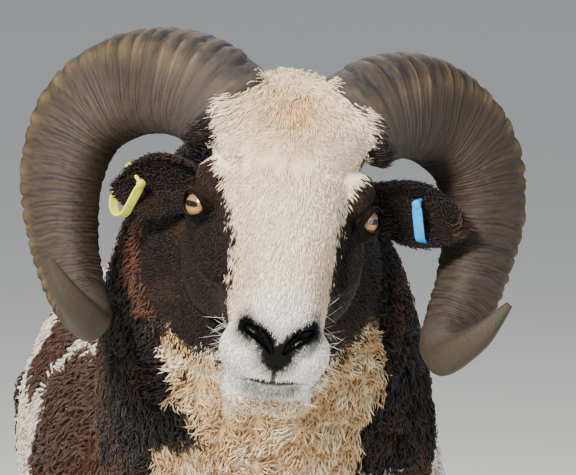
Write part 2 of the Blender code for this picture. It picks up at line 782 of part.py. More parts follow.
def add_tag(name):
    """A strip bent into a loop round the lower edge of the ear, closed by its pin."""
    root, along, across, opens = ear_frame(name)
    share, angle = TAG_PIN[name]
    pin = ear_place(name, share, *leaf_size(share), angle, EAR_THICKNESS / 2)
    down = along * math.sin(TAG_LEAN[name]) - across * math.cos(TAG_LEAN[name])
    facing = opens * math.cos(TAG_SWING[name]) - along * math.sin(TAG_SWING[name])
    facing = (facing - down * facing.dot(down)).normalized()
    wide, half = down.cross(facing), TAG_HALF_GAP
    turn = [math.pi * k / TAG_TURNS for k in range(TAG_TURNS + 1)]
    path = [pin + facing * half]
    path += [pin + down * (TAG_DROP - half + half * math.sin(a)) + facing * half * math.cos(a)
             for a in turn]
    path += [pin - facing * half]
    rings = []
    for i, point in enumerate(path):
        run = (path[min(i + 1, len(path) - 1)] - path[max(i - 1, 0)]).normalized()
        out = run.cross(wide)
        rings.append([point + wide * TAG_WIDTH / 2 * u + out * TAG_THICKNESS / 2 * v
                      for u, v in ((-1, -1), (1, -1), (1, 1), (-1, 1))])
    tag = add_loft("tag_" + name, rings)
    ends = [oval(pin + facing * reach, wide * TAG_PIN_RADIUS, down * TAG_PIN_RADIUS, 8)
            for reach in (-half - TAG_THICKNESS, half + TAG_THICKNESS)]
    combine(tag, "UNION", [add_loft("pin", ends)])
    tag.data.transform(head_matrix())
    return tag


def add_claw(name, centre_x, centre_y, inward):
    """One claw of a cloven hoof, flat on the floor."""
    rings = [oval(Vector((centre_x + inward * CLAW_LEAN * k, centre_y + back, z)),
                  Vector((half_width, 0, 0)), Vector((0, half_length, 0)), 10, 2.5)
             for k, (z, half_width, half_length, back) in enumerate(CLAW)]
    return add_loft(name, rings)


def add_foot(place, name, side, foot, leg):
    """Both claws and both dewclaws of one foot."""
    x, y = side * foot[0], foot[1]
    for part, inward in (("inner", -side), ("outer", side)):
        add_claw(f"claw_{place}_{name}_{part}", x + inward * CLAW_SPLIT, y, -inward)
        dewclaw = add_ellipsoid(f"dewclaw_{place}_{name}_{part}",
                                Vector((x + inward * DEWCLAW[0], y + DEWCLAW[1], DEWCLAW[2])),
                                DEWCLAW_RADII, None, 6)
        seat(leg, dewclaw)


def paint(materials):
    """Gives each object the material of the first word of its name."""
    for obj in bpy.context.scene.objects:
        obj.data.materials.clear()
        obj.data.materials.append(materials[obj.name.split("_")[0]])


def make_materials():
    wool = make_material("fleece wool", (0.62, 0.55, 0.47), 0.95)
    dark_hair = make_material("dark face hair", (0.035, 0.022, 0.017), 0.80)
    leg_hair = make_material("white leg hair", (0.66, 0.61, 0.54), 0.85)
    return {
        "head": make_material("face hair", (0.55, 0.50, 0.44), 0.80),
        "neck": make_material("dark neck wool", (0.050, 0.028, 0.020), 0.95),
        "torso": wool,
        "tail": wool,
        "foreleg": leg_hair,
        "hindleg": leg_hair,
        "ear": dark_hair,
        "eye": make_material("amber eye", (0.42, 0.20, 0.06), 0.08),
        "horn": make_material("ribbed horn", (0.115, 0.085, 0.062), 0.55),
        "claw": make_material("hoof horn", (0.045, 0.035, 0.030), 0.60),
        "dewclaw": make_material("dewclaw horn", (0.045, 0.035, 0.030), 0.60),
        "tag": make_material("moulded tag plastic", (0.05, 0.35, 0.70), 0.45),
    }


def centre_on_floor():
    """Moves the whole ram so that the origin is on the floor under the middle of its box."""
    corners = [vert.co for obj in bpy.context.scene.objects for vert in obj.data.vertices]
    low = [min(corner[k] for corner in corners) for k in range(3)]
    high = [max(corner[k] for corner in corners) for k in range(3)]
    shift = Vector((-(low[0] + high[0]) / 2, -(low[1] + high[1]) / 2, -low[2]))
    for obj in bpy.context.scene.objects:
        obj.data.transform(Matrix.Translation(shift))


def main():
    clear_scene()
    body = make_body_core()
    limbs = thin_out(copy_of(body, "limbs"), LIMB_TRIANGLES)
    thin_out(body, CORE_TRIANGLES)
    add_fleece(body)
    for place, middle_y, path in (("fore", FORELEG_CUT_Y, FORELEG),
                                  ("hind", HINDLEG_CUT_Y, HINDLEG)):
        for name, side in SIDES.items():
            leg = part_off(body, f"{place}leg_{name}", leg_block(side, middle_y), limbs)
            add_foot(place, name, side, path[-2], leg)
    remove_objects([limbs])
    combine(body, "DIFFERENCE", [foot_block()])
    part_off(body, "tail", tail_block)
    head = add_head_mass()
    add_forelock(head)
    neck = part_off(body, "neck", neck_block)
    seat(neck, head)
    body.name = "torso"
    keep_largest(body)
    carve_face(head)
    for name, side in SIDES.items():
        seat(head, add_horn(name, side), add_eye(name, side))
    for name in SIDES:
        ear = add_ear(name)
        seat(ear, head, add_tag(name))
        seat(neck, ear)
    paint(make_materials())
    centre_on_floor()


main()
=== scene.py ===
"""The looks of a Jacob ram: one skin, its fleece and short hair, ribbed horns, eyes, hooves and tags.

Metres, +Z up. The ram faces -Y and its left side is +X. Sizes of the body are those of its solids.
"""

import json
import math

import bmesh
import bpy
import numpy as np
from mathutils import Matrix, Vector
from mathutils.bvhtree import BVHTree
from mathutils.kdtree import KDTree

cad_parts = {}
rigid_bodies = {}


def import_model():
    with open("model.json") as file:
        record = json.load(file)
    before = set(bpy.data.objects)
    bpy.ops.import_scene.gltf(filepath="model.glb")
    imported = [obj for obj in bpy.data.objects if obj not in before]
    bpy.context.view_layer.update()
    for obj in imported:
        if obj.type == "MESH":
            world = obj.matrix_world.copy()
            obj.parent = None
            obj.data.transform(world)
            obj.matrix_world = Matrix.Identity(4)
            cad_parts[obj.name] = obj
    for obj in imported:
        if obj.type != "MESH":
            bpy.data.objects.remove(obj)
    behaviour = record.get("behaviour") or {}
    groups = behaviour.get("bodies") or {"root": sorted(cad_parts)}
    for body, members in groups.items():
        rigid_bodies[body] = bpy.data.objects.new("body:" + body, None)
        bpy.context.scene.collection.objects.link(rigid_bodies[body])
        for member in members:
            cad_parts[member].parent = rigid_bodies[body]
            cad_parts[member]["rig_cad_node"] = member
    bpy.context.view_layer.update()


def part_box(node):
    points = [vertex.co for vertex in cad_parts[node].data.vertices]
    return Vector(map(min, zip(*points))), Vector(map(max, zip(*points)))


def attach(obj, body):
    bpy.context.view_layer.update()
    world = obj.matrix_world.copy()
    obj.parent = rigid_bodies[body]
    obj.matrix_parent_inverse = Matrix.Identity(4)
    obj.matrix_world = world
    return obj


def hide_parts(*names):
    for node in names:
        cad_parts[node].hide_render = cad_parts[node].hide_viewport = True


LEFT, RIGHT = 1, -1
SIDES = {"right": RIGHT, "left": LEFT}
FLOOR_REACH = 60.0

# Depths of the coat: the skin lies this far under the outline of the solids
WOOL_DEPTH = 0.016
HAIR_DEPTH = 0.0035
POLL_DEPTH = 0.0120
FOREHEAD_DEPTH = 0.0090
TAIL_DEPTH = 0.010

# Barrel, from the brisket to the rump: y, height of the middle, half width, half height
BARREL = [
    (-0.425, 0.515, 0.060, 0.075),
    (-0.405, 0.515, 0.115, 0.140),
    (-0.350, 0.515, 0.165, 0.190),
    (-0.260, 0.512, 0.198, 0.212),
    (-0.120, 0.506, 0.213, 0.215),
    (0.030, 0.502, 0.220, 0.212),
    (0.170, 0.508, 0.215, 0.203),
    (0.290, 0.525, 0.198, 0.188),
    (0.380, 0.540, 0.170, 0.165),
    (0.435, 0.550, 0.125, 0.125),
    (0.460, 0.552, 0.060, 0.065),
]

# Neck, from inside the shoulders to the poll: x, y, z, half width, half depth
NECK = [
    (-0.002, -0.250, 0.535, 0.172, 0.182),
    (-0.012, -0.340, 0.615, 0.176, 0.178),
    (-0.032, -0.420, 0.705, 0.166, 0.160),
    (-0.048, -0.487, 0.790, 0.146, 0.138),
    (-0.052, -0.532, 0.855, 0.114, 0.114),
    (-0.050, -0.566, 0.905, 0.074, 0.078),
]

# Forelimb and hind limb, from inside the body to the hoof: out, y, z, half width, half length
FORELEG = [
    (0.108, -0.235, 0.500, 0.060, 0.080),
    (0.106, -0.240, 0.420, 0.052, 0.068),
    (0.101, -0.245, 0.345, 0.036, 0.044),
    (0.098, -0.250, 0.285, 0.027, 0.031),
    (0.097, -0.254, 0.242, 0.026, 0.028),
    (0.096, -0.250, 0.212, 0.021, 0.022),
    (0.095, -0.247, 0.150, 0.0155, 0.0175),
    (0.095, -0.246, 0.108, 0.0175, 0.020),
    (0.095, -0.250, 0.086, 0.0225, 0.024),
    (0.096, -0.258, 0.064, 0.0215, 0.0215),
    (0.097, -0.266, 0.040, 0.0250, 0.0260),
    (0.097, -0.270, 0.025, 0.0220, 0.0220),
]
HINDLEG = [
    (0.118, 0.290, 0.560, 0.075, 0.120),
    (0.122, 0.280, 0.470, 0.070, 0.112),
    (0.118, 0.290, 0.390, 0.052, 0.080),
    (0.110, 0.325, 0.325, 0.033, 0.046),
    (0.105, 0.362, 0.270, 0.023, 0.032),
    (0.103, 0.378, 0.235, 0.0215, 0.031),
    (0.101, 0.372, 0.200, 0.019, 0.023),
    (0.099, 0.364, 0.150, 0.0165, 0.0195),
    (0.098, 0.360, 0.110, 0.0180, 0.021),
    (0.098, 0.354, 0.088, 0.0225, 0.0245),
    (0.099, 0.345, 0.066, 0.0215, 0.022),
    (0.100, 0.336, 0.040, 0.0250, 0.0260),
    (0.100, 0.332, 0.025, 0.0220, 0.0220),
]
LIMBS = {"fore": FORELEG, "hind": HINDLEG}
HOOF_TOP = 0.040
LEG_SKIN_END = 0.030
LEG_SKIN_START = 0.40

# Tail, from inside the rump to its woolly end: y, z, half width, half depth
TAIL = [
    (0.400, 0.640, 0.030, 0.026),
    (0.455, 0.622, 0.034, 0.028),
    (0.488, 0.570, 0.037, 0.028),
    (0.500, 0.500, 0.036, 0.026),
    (0.503, 0.430, 0.033, 0.024),
    (0.502, 0.370, 0.027, 0.021),
    (0.500, 0.330, 0.014, 0.013),
]
SCROTUM = Vector((0.0, 0.345, 0.330))
SCROTUM_RADII = (0.040, 0.038, 0.060)

# Rings of the rough forms, sides of the round ones, and cells of the smooth skins that join them
SKULL_RINGS = 80
BARREL_RINGS = 60
NECK_RINGS = 40
LIMB_RINGS = 110
MOUTH_STEPS = 60
NOSTRIL_STEPS = 14
FOLD_STEPS = 24
ROUND_SIDES = 40
BODY_CELL = 0.0080
LEG_CELL = 0.0040
HEAD_CELL = 0.0022

# Head: the middle of the line between the eyes, how the head is held, and its half lengths
EYES = Vector((-0.050, -0.650, 0.865))
HEAD_YAW = math.radians(-5)
HEAD_ROLL = math.radians(6.4)
FACE_SLOPE = math.radians(53)
EYE_OUT = 0.0715
EYE_RADIUS = 0.0138
EYE_FORWARD = 0.004

# Sections of the head along the face: distance from the eye line towards the muzzle, top and
# bottom measured out from the line of the face, half width above and half width below
HEAD_SECTIONS = [
    (-0.132, 0.000, -0.070, 0.040, 0.045),
    (-0.115, 0.026, -0.092, 0.056, 0.064),
    (-0.085, 0.046, -0.116, 0.066, 0.076),
    (-0.050, 0.057, -0.132, 0.069, 0.082),
    (-0.015, 0.060, -0.138, 0.068, 0.081),
    (0.015, 0.059, -0.134, 0.063, 0.074),
    (0.048, 0.056, -0.118, 0.055, 0.062),
    (0.080, 0.050, -0.100, 0.048, 0.048),
    (0.105, 0.043, -0.088, 0.045, 0.041),
    (0.125, 0.032, -0.083, 0.045, 0.038),
    (0.142, 0.012, -0.083, 0.041, 0.038),
    (0.153, -0.012, -0.076, 0.029, 0.029),
    (0.159, -0.030, -0.062, 0.014, 0.012),
]

# Rounded forms that are set on the head: name, out, along the face, above it, and the three radii
HEAD_FORMS = [
    ("brow", 0.0580, -0.020, 0.012, 0.0220, 0.0270, 0.0220),
    ("cheekbone", 0.0550, 0.026, -0.016, 0.0210, 0.0420, 0.0200),
    ("jaw muscle", 0.0460, 0.000, -0.072, 0.0370, 0.0640, 0.0560),
    ("upper lip", 0.0250, 0.126, -0.018, 0.0240, 0.0270, 0.0290),
    ("nostril wing", 0.0190, 0.126, 0.012, 0.0135, 0.0190, 0.0140),
    ("lower lip", 0.0155, 0.139, -0.067, 0.0255, 0.0250, 0.0245),
    ("forehead", 0.0000, -0.076, 0.040, 0.0620, 0.0520, 0.0340),
]

# The woolly crown between the horns, in the same terms
CROWN = (0.0, -0.060, 0.032, 0.070, 0.046, 0.046)

# Horn of the left side in the head's own frame: x, y, z, breadth, thickness
HORN = [
    (0.044, 0.012, 0.064, 0.084, 0.060),
    (0.066, 0.020, 0.092, 0.095, 0.064),
    (0.100, 0.047, 0.102, 0.096, 0.067),
    (0.139, 0.082, 0.092, 0.093, 0.068),
    (0.176, 0.097, 0.060, 0.086, 0.066),
    (0.191, 0.095, 0.009, 0.074, 0.062),
    (0.185, 0.082, -0.048, 0.060, 0.056),
    (0.170, 0.060, -0.093, 0.050, 0.048),
    (0.160, 0.026, -0.110, 0.042, 0.042),
    (0.162, -0.012, -0.106, 0.034, 0.034),
    (0.181, -0.038, -0.084, 0.024, 0.023),
    (0.201, -0.047, -0.054, 0.009, 0.008),
]
HORN_OUTWARD = (-0.75, -0.25, 0.60)
HORN_SQUARENESS = 2.7
HORN_KEEL = 0.08
HORN_KEEL_ANGLE = math.radians(58)
HORN_KEEL_TWIST = math.radians(24)
ROOT_RING = 4
ROOT_SWELL = 0.0008
ROOT_LENGTH = 0.022
HORN_RINGS = 720
HORN_HIDDEN = 50
HORN_SHOWN = 7
HORN_SIDES = 44
RIDGE_SPACING = 0.0125
RIDGE_HEIGHT = 0.0032
GROWTH_LINE = 0.0043
GROWTH_LINE_HEIGHT = 0.00095
RIDGE_JITTER = 0.0018
RIDGE_SLANT = 0.0016
KNOB_SIZE = 0.011
MOTTLE_SIZE = 0.0035
HORN_INSET = 0.0012
RIDGES_FADE = (0.66, 0.86)
KEEL_TURNS_BY = (0.02, 0.34)
BASE_REACH = 0.16
TIP_START = (0.70, 0.82)

# Eyelids: the opening's half width and half height, its tilt down to the tear duct, and where
# it looks, as out, forward and up in the head's frame
LID_THICKNESS = 0.0034
LID_OPENING = (0.0150, 0.0098)
LID_TILT = math.radians(14)
LID_RIM = 0.0011
LID_SQUARENESS = 1.75
LID_FOLD = (1.25, 0.98)
LID_FOLD_RADIUS = 0.0022
FOLD_REACH = (math.radians(8), math.radians(172))
EYE_CLEARANCE = 0.0004
EYE_LOOKS = (0.800, 0.580, 0.120)

# Mouth, groove under the nose and nostrils on the face: out, along, above
MOUTH = [(0.0460, 0.082, -0.050), (0.0430, 0.108, -0.044), (0.0320, 0.134, -0.035),
         (0.0170, 0.151, -0.0240), (0.0000, 0.156, -0.0225)]
MOUTH_RADIUS = 0.0017
PHILTRUM = [(0.0, 0.156, -0.0235), (0.0, 0.152, -0.0125), (0.0, 0.148, -0.0040)]
PHILTRUM_RADIUS = 0.0014
NOSTRIL = [(0.0050, 0.1425, 0.0080, 0.0020), (0.0085, 0.1385, 0.0140, 0.0034),
           (0.0140, 0.1350, 0.0195, 0.0046), (0.0195, 0.1315, 0.0215, 0.0050),
           (0.0250, 0.1270, 0.0200, 0.0040), (0.0300, 0.1215, 0.0165, 0.0022)]
NOSE_PAD = [(0.0, 0.1474, -0.0005), (0.0, 0.1440, 0.0060), (0.0036, 0.1460, 0.0030)]
NOSTRIL_DEPTH = 0.0022
PAD_MARGIN = 0.0022
NOSE_START = 0.10
NOSE_EDGE = (0.0062, 0.0092)
SEAM_EDGE = (0.0022, 0.0042)
LOWER_LIP = (0.0225, 0.034, 0.046)

# Ears in the head's frame: root, where each one points and the size of the leaf
EAR_ROOT = (0.060, 0.040, 0.014)
EAR_POINTS = {"right": (0.88, 0.28, -0.05), "left": (0.98, 0.00, -0.06)}
EAR_LENGTH = {"right": 0.092, "left": 0.114}
EAR_HALF_WIDTH = 0.031
EAR_THICKNESS = 0.0042
EAR_DROOP = 0.010
EAR_OPENS = (0.10, -0.93, -0.25)
EAR_LIP = 0.93
EAR_LEAF = [(0.0, 0.42, 115), (0.12, 0.50, 105), (0.28, 0.78, 72), (0.45, 0.98, 50),
            (0.62, 0.98, 42), (0.78, 0.76, 38), (0.90, 0.46, 36), (0.98, 0.18, 34)]
EAR_RINGS = 44
EAR_STEPS = 15

# Ear tags: where the pin goes through, as shares along and across the leaf, and how far the
# loop leans and swings outwards
TAG_WIDTH = 0.0095
TAG_THICKNESS = 0.0022
TAG_PIN = {"right": (0.78, 0.40), "left": (0.58, 0.40)}
TAG_LEAN = {"right": math.radians(27), "left": math.radians(17)}
TAG_SWING = {"right": math.radians(46), "left": math.radians(26)}
TAG_DROP = 0.042
TAG_HALF_GAP = 0.0130
TAG_PIN_RADIUS = 0.0040
SHAFT_RADIUS = 0.0018

# Claws: from the sole up: height, half width, half length, and how far back the middle sits
CLAW = [(0.000, 0.0118, 0.0285, -0.006), (0.007, 0.0122, 0.0280, -0.004),
        (0.024, 0.0118, 0.0245, 0.001), (0.0397, 0.0110, 0.0215, 0.005)]
CLAW_RINGS = 30
CLAW_SPLIT = 0.0130
CLAW_LEAN = 0.0006
HOOF_LINE = 0.0035
HOOF_LINE_DEPTH = 0.012
DEWCLAW = (0.0105, 0.0390, 0.083)
DEWCLAW_RADII = (0.0048, 0.0062, 0.0088)

# Half width of the white blaze along the face, and where the white takes in the whole muzzle
BLAZE = [(-0.130, 0.020), (-0.103, 0.040), (-0.081, 0.056), (-0.060, 0.066), (-0.040, 0.068),
         (-0.020, 0.062), (0.000, 0.053), (0.034, 0.045), (0.070, 0.043), (0.100, 0.046),
         (0.112, 0.060), (0.120, 0.090)]
WOOL_FLOOR = 0.320
WOOL_TO_EYES = 0.165
POLL_SPREAD = 0.012
WHITE_SIDES = -0.012
MUZZLE_START = 0.108

# Wool: length, spacing of the staples, a strand's half width as a share of the strands' spacing,
# the ends' lift off the skin in degrees, and where the neck's wool meets the barrel's
WOOL_LENGTH = 0.0185
STAPLE_SPACING = 0.0150
STRAND_SHARE = 0.235
WOOL_LIFT = (45, 75)
WOOL_RISE = 0.75
NECK_END = -0.335

# Spacing between the roots of neighbouring tufts, and the seeds that place and turn them
ROOT_SPACING = {"face": 0.00185, "crown": 0.00172, "whiskers": 0.0125, "ears": 0.0022,
                "legs": 0.0035, "neck": 0.0039, "barrel": 0.0070}
SEEDS = {"face": 21, "whiskers": 24, "crown": 28, "ears": 41, "legs": 51, "neck": 61,
         "barrel": 71, "horn": 81}

# Short hair: least and most length and half width, and lift off the skin in degrees. On the face
# and crown the later numbers are what the blaze, the open cheek, the poll or the edge add
FACE_HAIR_LENGTH = (0.0062, 0.0016)
FACE_HAIR_WIDTH = (0.00030, 0.00026, 0.00008)
FACE_HAIR_LIFT = (20, 8)
CROWN_LENGTH = (0.0062, 0.0085, 0.0060)
CROWN_WIDTH = 0.00056
CROWN_LIFT = (13, 22)
WHISKER_LENGTH = (0.014, 0.030)
WHISKER_WIDTH = 0.00017
WHISKER_LIFT = (40, 62)
EAR_HAIR_LENGTH = (0.0035, 0.0065)
EAR_HAIR_WIDTH = (0.0005, 0.0009)
EAR_HAIR_LIFT = (15, 40)
LEG_HAIR_LENGTH = (0.0075, 0.0125)
LEG_HAIR_WIDTH = (0.0008, 0.0013)
LEG_HAIR_LIFT = (10, 26)
EAR_HAIR_START = 0.062
EAR_TIP_SHARE = 0.98
HEAD_FLOOR = 0.5

# How far hair keeps from the eyes' openings, the mouth, the groove under the nose and the horns
LID_MARGIN = 1.14
MOUTH_MARGIN = 0.0026
PHILTRUM_MARGIN = 0.0017
HORN_MARGIN = 0.97
FAR = 99.0

# Side of a tuft's patch on the bake map, and the most triangles in one piece of the coat
UV_PATCH = 0.003
PIECE_LIMIT = 195000
MAP_EDGE = 0.02
MAP_SPAN = 0.96

# Colours as the eye sees them, in sRGB
COLOURS = {
    "blaze": "f5e6cc",
    "forehead": "c99c62",
    "muzzle": "fdfaf5",
    "lip grey": "5a524c",
    "lower lip": "56504c",
    "nose": "060606",
    "face": "1d1512",
    "face brown": "3a271e",
    "ear": "15100e",
    "collar": "17100d",
    "chestnut": "55321f",
    "shoulder": "40281a",
    "bib": "cfa878",
    "bib pale": "f0dcb8",
    "flank": "efe6d8",
    "flank root": "b9a88c",
    "leg": "ddd3c4",
    "lid": "0a0706",
    "tear": "7a3a2c",
    "horn body": "352a20",
    "horn dark": "0f0b09",
    "horn base": "302c2c",
    "horn worn": "6f5c3e",
    "horn tip": "352d20",
    "iris dark": "5f3216",
    "iris amber": "b98347",
    "iris shaded": "7d5a4f",
    "iris rim": "3a1c10",
    "pupil": "07080c",
    "hoof": "3a302a",
    "yellow plastic": "dfe04a",
    "blue plastic": "0c8fd6",
    "floor": "e3e1dc",
    "daylight": "dfe6ee",
}

# The picture's frame in pixels, where the middle between the eyes lies in it, and the camera
FRAME_WIDTH, FRAME_HEIGHT = 576, 475
EYES_IN_FRAME = (282.5, 214.0)
CAMERA_AZIMUTH = math.radians(-10)
CAMERA_ELEVATION = math.radians(7)
CAMERA_DISTANCE = 3.0
CAMERA_LENS = 214
SENSOR_WIDTH = 36

# Studio lights: name, place, what they aim at, diameter, watts and colour
CHEST = (-0.03, -0.45, 0.75)
LIGHTS = [
    ("key", (-1.5, -2.4, 2.5), CHEST, 0.55, 260, (1.0, 0.95, 0.87)),
    ("fill", (2.4, -2.2, 1.2), CHEST, 2.2, 35, (0.90, 0.95, 1.0)),
    ("top", (0.3, 1.4, 2.8), (0, 0.1, 0.6), 1.8, 60, (1.0, 0.98, 0.95)),
]
SKY_STRENGTH = 0.55


def linear(colour):
    """An sRGB hex colour as linear numbers."""
    parts = [int(colour[i:i + 2], 16) / 255 for i in (0, 2, 4)]
    return [p / 12.92 if p <= 0.04045 else ((p + 0.055) / 1.055) ** 2.4 for p in parts]


PAINT = {name: np.array(linear(colour)) for name, colour in COLOURS.items()}


def opaque(name):
    """A named colour with full cover, as a shader's socket takes it."""
    return (*PAINT[name], 1)


def smooth_rows(rows, count):
    """Rows of numbers read off a Catmull-Rom curve through the given rows."""
    rows = np.array(rows, float)
    last = len(rows) - 1
    place = np.linspace(0, last, count)
    k = np.minimum(place.astype(int), last - 1)
    t = (place - k)[:, None]
    p, q, r, s = (rows[np.clip(k + j, 0, last)] for j in (-1, 0, 1, 2))
    return 0.5 * (2 * q + (r - p) * t + (2 * p - 5 * q + 4 * r - s) * t ** 2
                  + (3 * q - p - 3 * r + s) * t ** 3)


def unit(rows):
    """Rows of vectors brought to length one."""
    return rows / np.maximum(np.linalg.norm(rows, axis=-1, keepdims=True), 1e-12)


def blend_step(value, low, high):
    """0 below low, 1 above high and a smooth rise between."""
    t = np.clip((value - low) / (high - low), 0, 1)
    return t * t * (3 - 2 * t)


def wobble(points, size, seed, waves=9):
    """A smooth uneven field, about -1 to 1, whose swells are about that size across."""
    draw = np.random.default_rng(seed)
    aims = unit(draw.normal(size=(waves, 3))) * (2 * math.pi / size)
    aims *= draw.uniform(0.6, 1.5, (waves, 1))
    phases = draw.uniform(0, 2 * math.pi, waves)
    return np.sin(points @ aims.T + phases).sum(axis=1) / math.sqrt(waves)


def mix(a, b, share):
    """Colours a and b mixed by a share for each row."""
    share = np.asarray(share)[:, None]
    return a * (1 - share) + b * share


def add_mesh(name, points, faces):
    mesh = bpy.data.meshes.new(name)
    mesh.from_pydata([tuple(p) for p in points], [], [tuple(f) for f in faces])
    mesh.validate()
    mesh.update()
    obj = bpy.data.objects.new(name, mesh)
    bpy.context.scene.collection.objects.link(obj)
    return obj


def loft(name, rings):
    """A closed skin through rings of points, each end closed by a fan."""
    rings = np.array(rings, float)
    count, sides = rings.shape[:2]
    points = np.vstack([rings.reshape(-1, 3), rings[0].mean(0), rings[-1].mean(0)])
    faces = []
    for i in range(count - 1):
        for j in range(sides):
            k = (j + 1) % sides
            faces.append((i * sides + j, i * sides + k, (i + 1) * sides + k, (i + 1) * sides + j))
    start, end = count * sides, count * sides + 1
    for j in range(sides):
        k = (j + 1) % sides
        faces.append((start, k, j))
        faces.append((end, (count - 1) * sides + j, (count - 1) * sides + k))
    obj = add_mesh(name, points, faces)
    turn_outwards(obj)
    return obj


def turn_outwards(obj):
    """Turns the faces of a closed mesh so that their normals point out of it."""
    bm = bmesh.new()
    bm.from_mesh(obj.data)
    bmesh.ops.recalc_face_normals(bm, faces=bm.faces)
    bm.to_mesh(obj.data)
    bm.free()


def oval(centre, across, along, sides, squareness=2.0):
    """A ring of points: an ellipse at squareness 2, and a rounded rectangle above that."""
    angle = np.linspace(0, 2 * math.pi, sides, endpoint=False)
    c, s = np.cos(angle), np.sin(angle)
    power = 2 / squareness
    u = np.sign(c) * np.abs(c) ** power
    v = np.sign(s) * np.abs(s) ** power
    return np.array(centre) + np.outer(u, np.array(across)) + np.outer(v, np.array(along))


def ball(name, centre, radii, turn=None, sides=32):
    """A ball with its own three radii, turned and then set at its centre."""
    bm = bmesh.new()
    bmesh.ops.create_uvsphere(bm, u_segments=sides, v_segments=sides // 2, radius=1.0)
    turn = turn.to_4x4() if turn else Matrix.Identity(4)
    bm.transform(Matrix.Translation(centre) @ turn @ Matrix.Diagonal((*radii, 1.0)))
    mesh = bpy.data.meshes.new(name)
    bm.to_mesh(mesh)
    bm.free()
    obj = bpy.data.objects.new(name, mesh)
    bpy.context.scene.collection.objects.link(obj)
    return obj


def apply_modifiers(obj):
    graph = bpy.context.evaluated_depsgraph_get()
    mesh = bpy.data.meshes.new_from_object(obj.evaluated_get(graph))
    obj.modifiers.clear()
    obj.data = mesh


def order_faces(obj):
    """Lists each face from its lowest point, and the faces in order, so that every run agrees."""
    faces = []
    for face in obj.data.polygons:
        corners = list(face.vertices)
        first = corners.index(min(corners))
        faces.append(corners[first:] + corners[:first])
    mesh = bpy.data.meshes.new(obj.name)
    mesh.from_pydata([tuple(p) for p in mesh_points(obj.data)], [], sorted(faces))
    mesh.update()
    obj.data = mesh


def combine(obj, operation, others):
    """One Boolean of obj with all the others, which are then removed."""
    group = bpy.data.collections.new("operands")
    bpy.context.scene.collection.children.link(group)
    for other in others:
        group.objects.link(other)
    modifier = obj.modifiers.new("combine", "BOOLEAN")
    modifier.operation = operation
    modifier.operand_type = "COLLECTION"
    modifier.collection = group
    modifier.solver = "MANIFOLD"
    apply_modifiers(obj)
    order_faces(obj)
    for other in others:
        bpy.data.objects.remove(other, do_unlink=True)
    bpy.data.collections.remove(group)


def fuse(name, pieces, cell, passes):
    """Closed pieces that overlap become one smooth skin."""
    bm = bmesh.new()
    for piece in pieces:
        bm.from_mesh(piece.data)
        bpy.data.objects.remove(piece, do_unlink=True)
    mesh = bpy.data.meshes.new(name)
    bm.to_mesh(mesh)
    bm.free()
    obj = bpy.data.objects.new(name, mesh)
    bpy.context.scene.collection.objects.link(obj)
    remesh = obj.modifiers.new("remesh", "REMESH")
    remesh.mode = "VOXEL"
    remesh.voxel_size = cell
    relax = obj.modifiers.new("relax", "SMOOTH")
    relax.iterations = passes
    relax.factor = 0.5
    apply_modifiers(obj)
    return obj


def head_matrix():
    """The head's frame: level with the eyes, its forward way is -Y before the turns."""
    return (Matrix.Translation(EYES) @ Matrix.Rotation(HEAD_YAW, 4, "Z")
            @ Matrix.Rotation(HEAD_ROLL, 4, "Y"))


def face_turn():
    """Axes of the face in the head's frame: across, back up the face, and out of it."""
    c, s = math.cos(FACE_SLOPE), math.sin(FACE_SLOPE)
    return Matrix(((1, 0, 0), (0, c, -s), (0, s, c)))


HEAD = head_matrix()
FACE = HEAD.to_3x3() @ face_turn()


def face_points(rows):
    """Places on the head, given as out from the middle, towards the muzzle and out of the face."""
    rows = np.atleast_2d(np.array(rows, float)) * (1, -1, 1)
    return rows @ np.array(FACE).T + np.array(EYES)


def to_face(points):
    """Out, along and above of places given in the ram's frame."""
    return (points - np.array(EYES)) @ np.array(FACE) * (1, -1, 1)


def head_points(rows):
    """Places given in the head's frame, in the ram's frame."""
    return np.array(rows, float) @ np.array(HEAD.to_3x3()).T + np.array(EYES)


def head_loft(name, rings):
    """A closed skin through rings given in the head's frame."""
    rings = np.array(rings)
    return loft(name, head_points(rings.reshape(-1, 3)).reshape(rings.shape))


def head_ring(row, inset, sides=48):
    """A ring round the head, whose width and height run out to rounded corners."""
    along, top, bottom, width_top, width_bottom = row
    angle = np.linspace(0, 2 * math.pi, sides, endpoint=False)
    c, s = np.cos(angle), np.sin(angle)
    share = (1 - c) / 2
    width = (width_top - inset) * (1 - share) + (width_bottom - inset) * share
    rise = (top - bottom) / 2 - inset
    height = (top + bottom) / 2 + rise * np.sign(c) * np.abs(c) ** 0.9
    out = width * np.sign(s) * np.abs(s) ** 0.8
    return face_points(np.stack([out, np.full(sides, along), height], 1))


def eye_centre(side):
    return HEAD @ Vector((side * EYE_OUT, EYE_FORWARD, 0))


def eye_axes(side):
    """Where the eye looks, the way across its opening and the way up it."""
    out, forward, up = EYE_LOOKS
    axis = (HEAD.to_3x3() @ Vector((side * out, -forward, up))).normalized()
    level = HEAD.to_3x3() @ Vector((0, 0, 1))
    across = axis.cross(level).normalized()
    upwards = across.cross(axis)
    turn = Matrix.Rotation(side * LID_TILT, 3, axis)
    return axis, turn @ across, turn @ upwards


def add_lid_opening(side):
    """An almond prism out of the eye's middle, which opens the lids."""
    axis, across, up = eye_axes(side)
    centre = eye_centre(side)
    rings = [oval(centre + axis * reach, across * LID_OPENING[0] * flare,
                  up * LID_OPENING[1] * flare, 48, LID_SQUARENESS)
             for reach, flare in ((0.0, 0.8), (EYE_RADIUS, 1.0), (0.045, 1.5))]
    return loft("lid opening", rings)


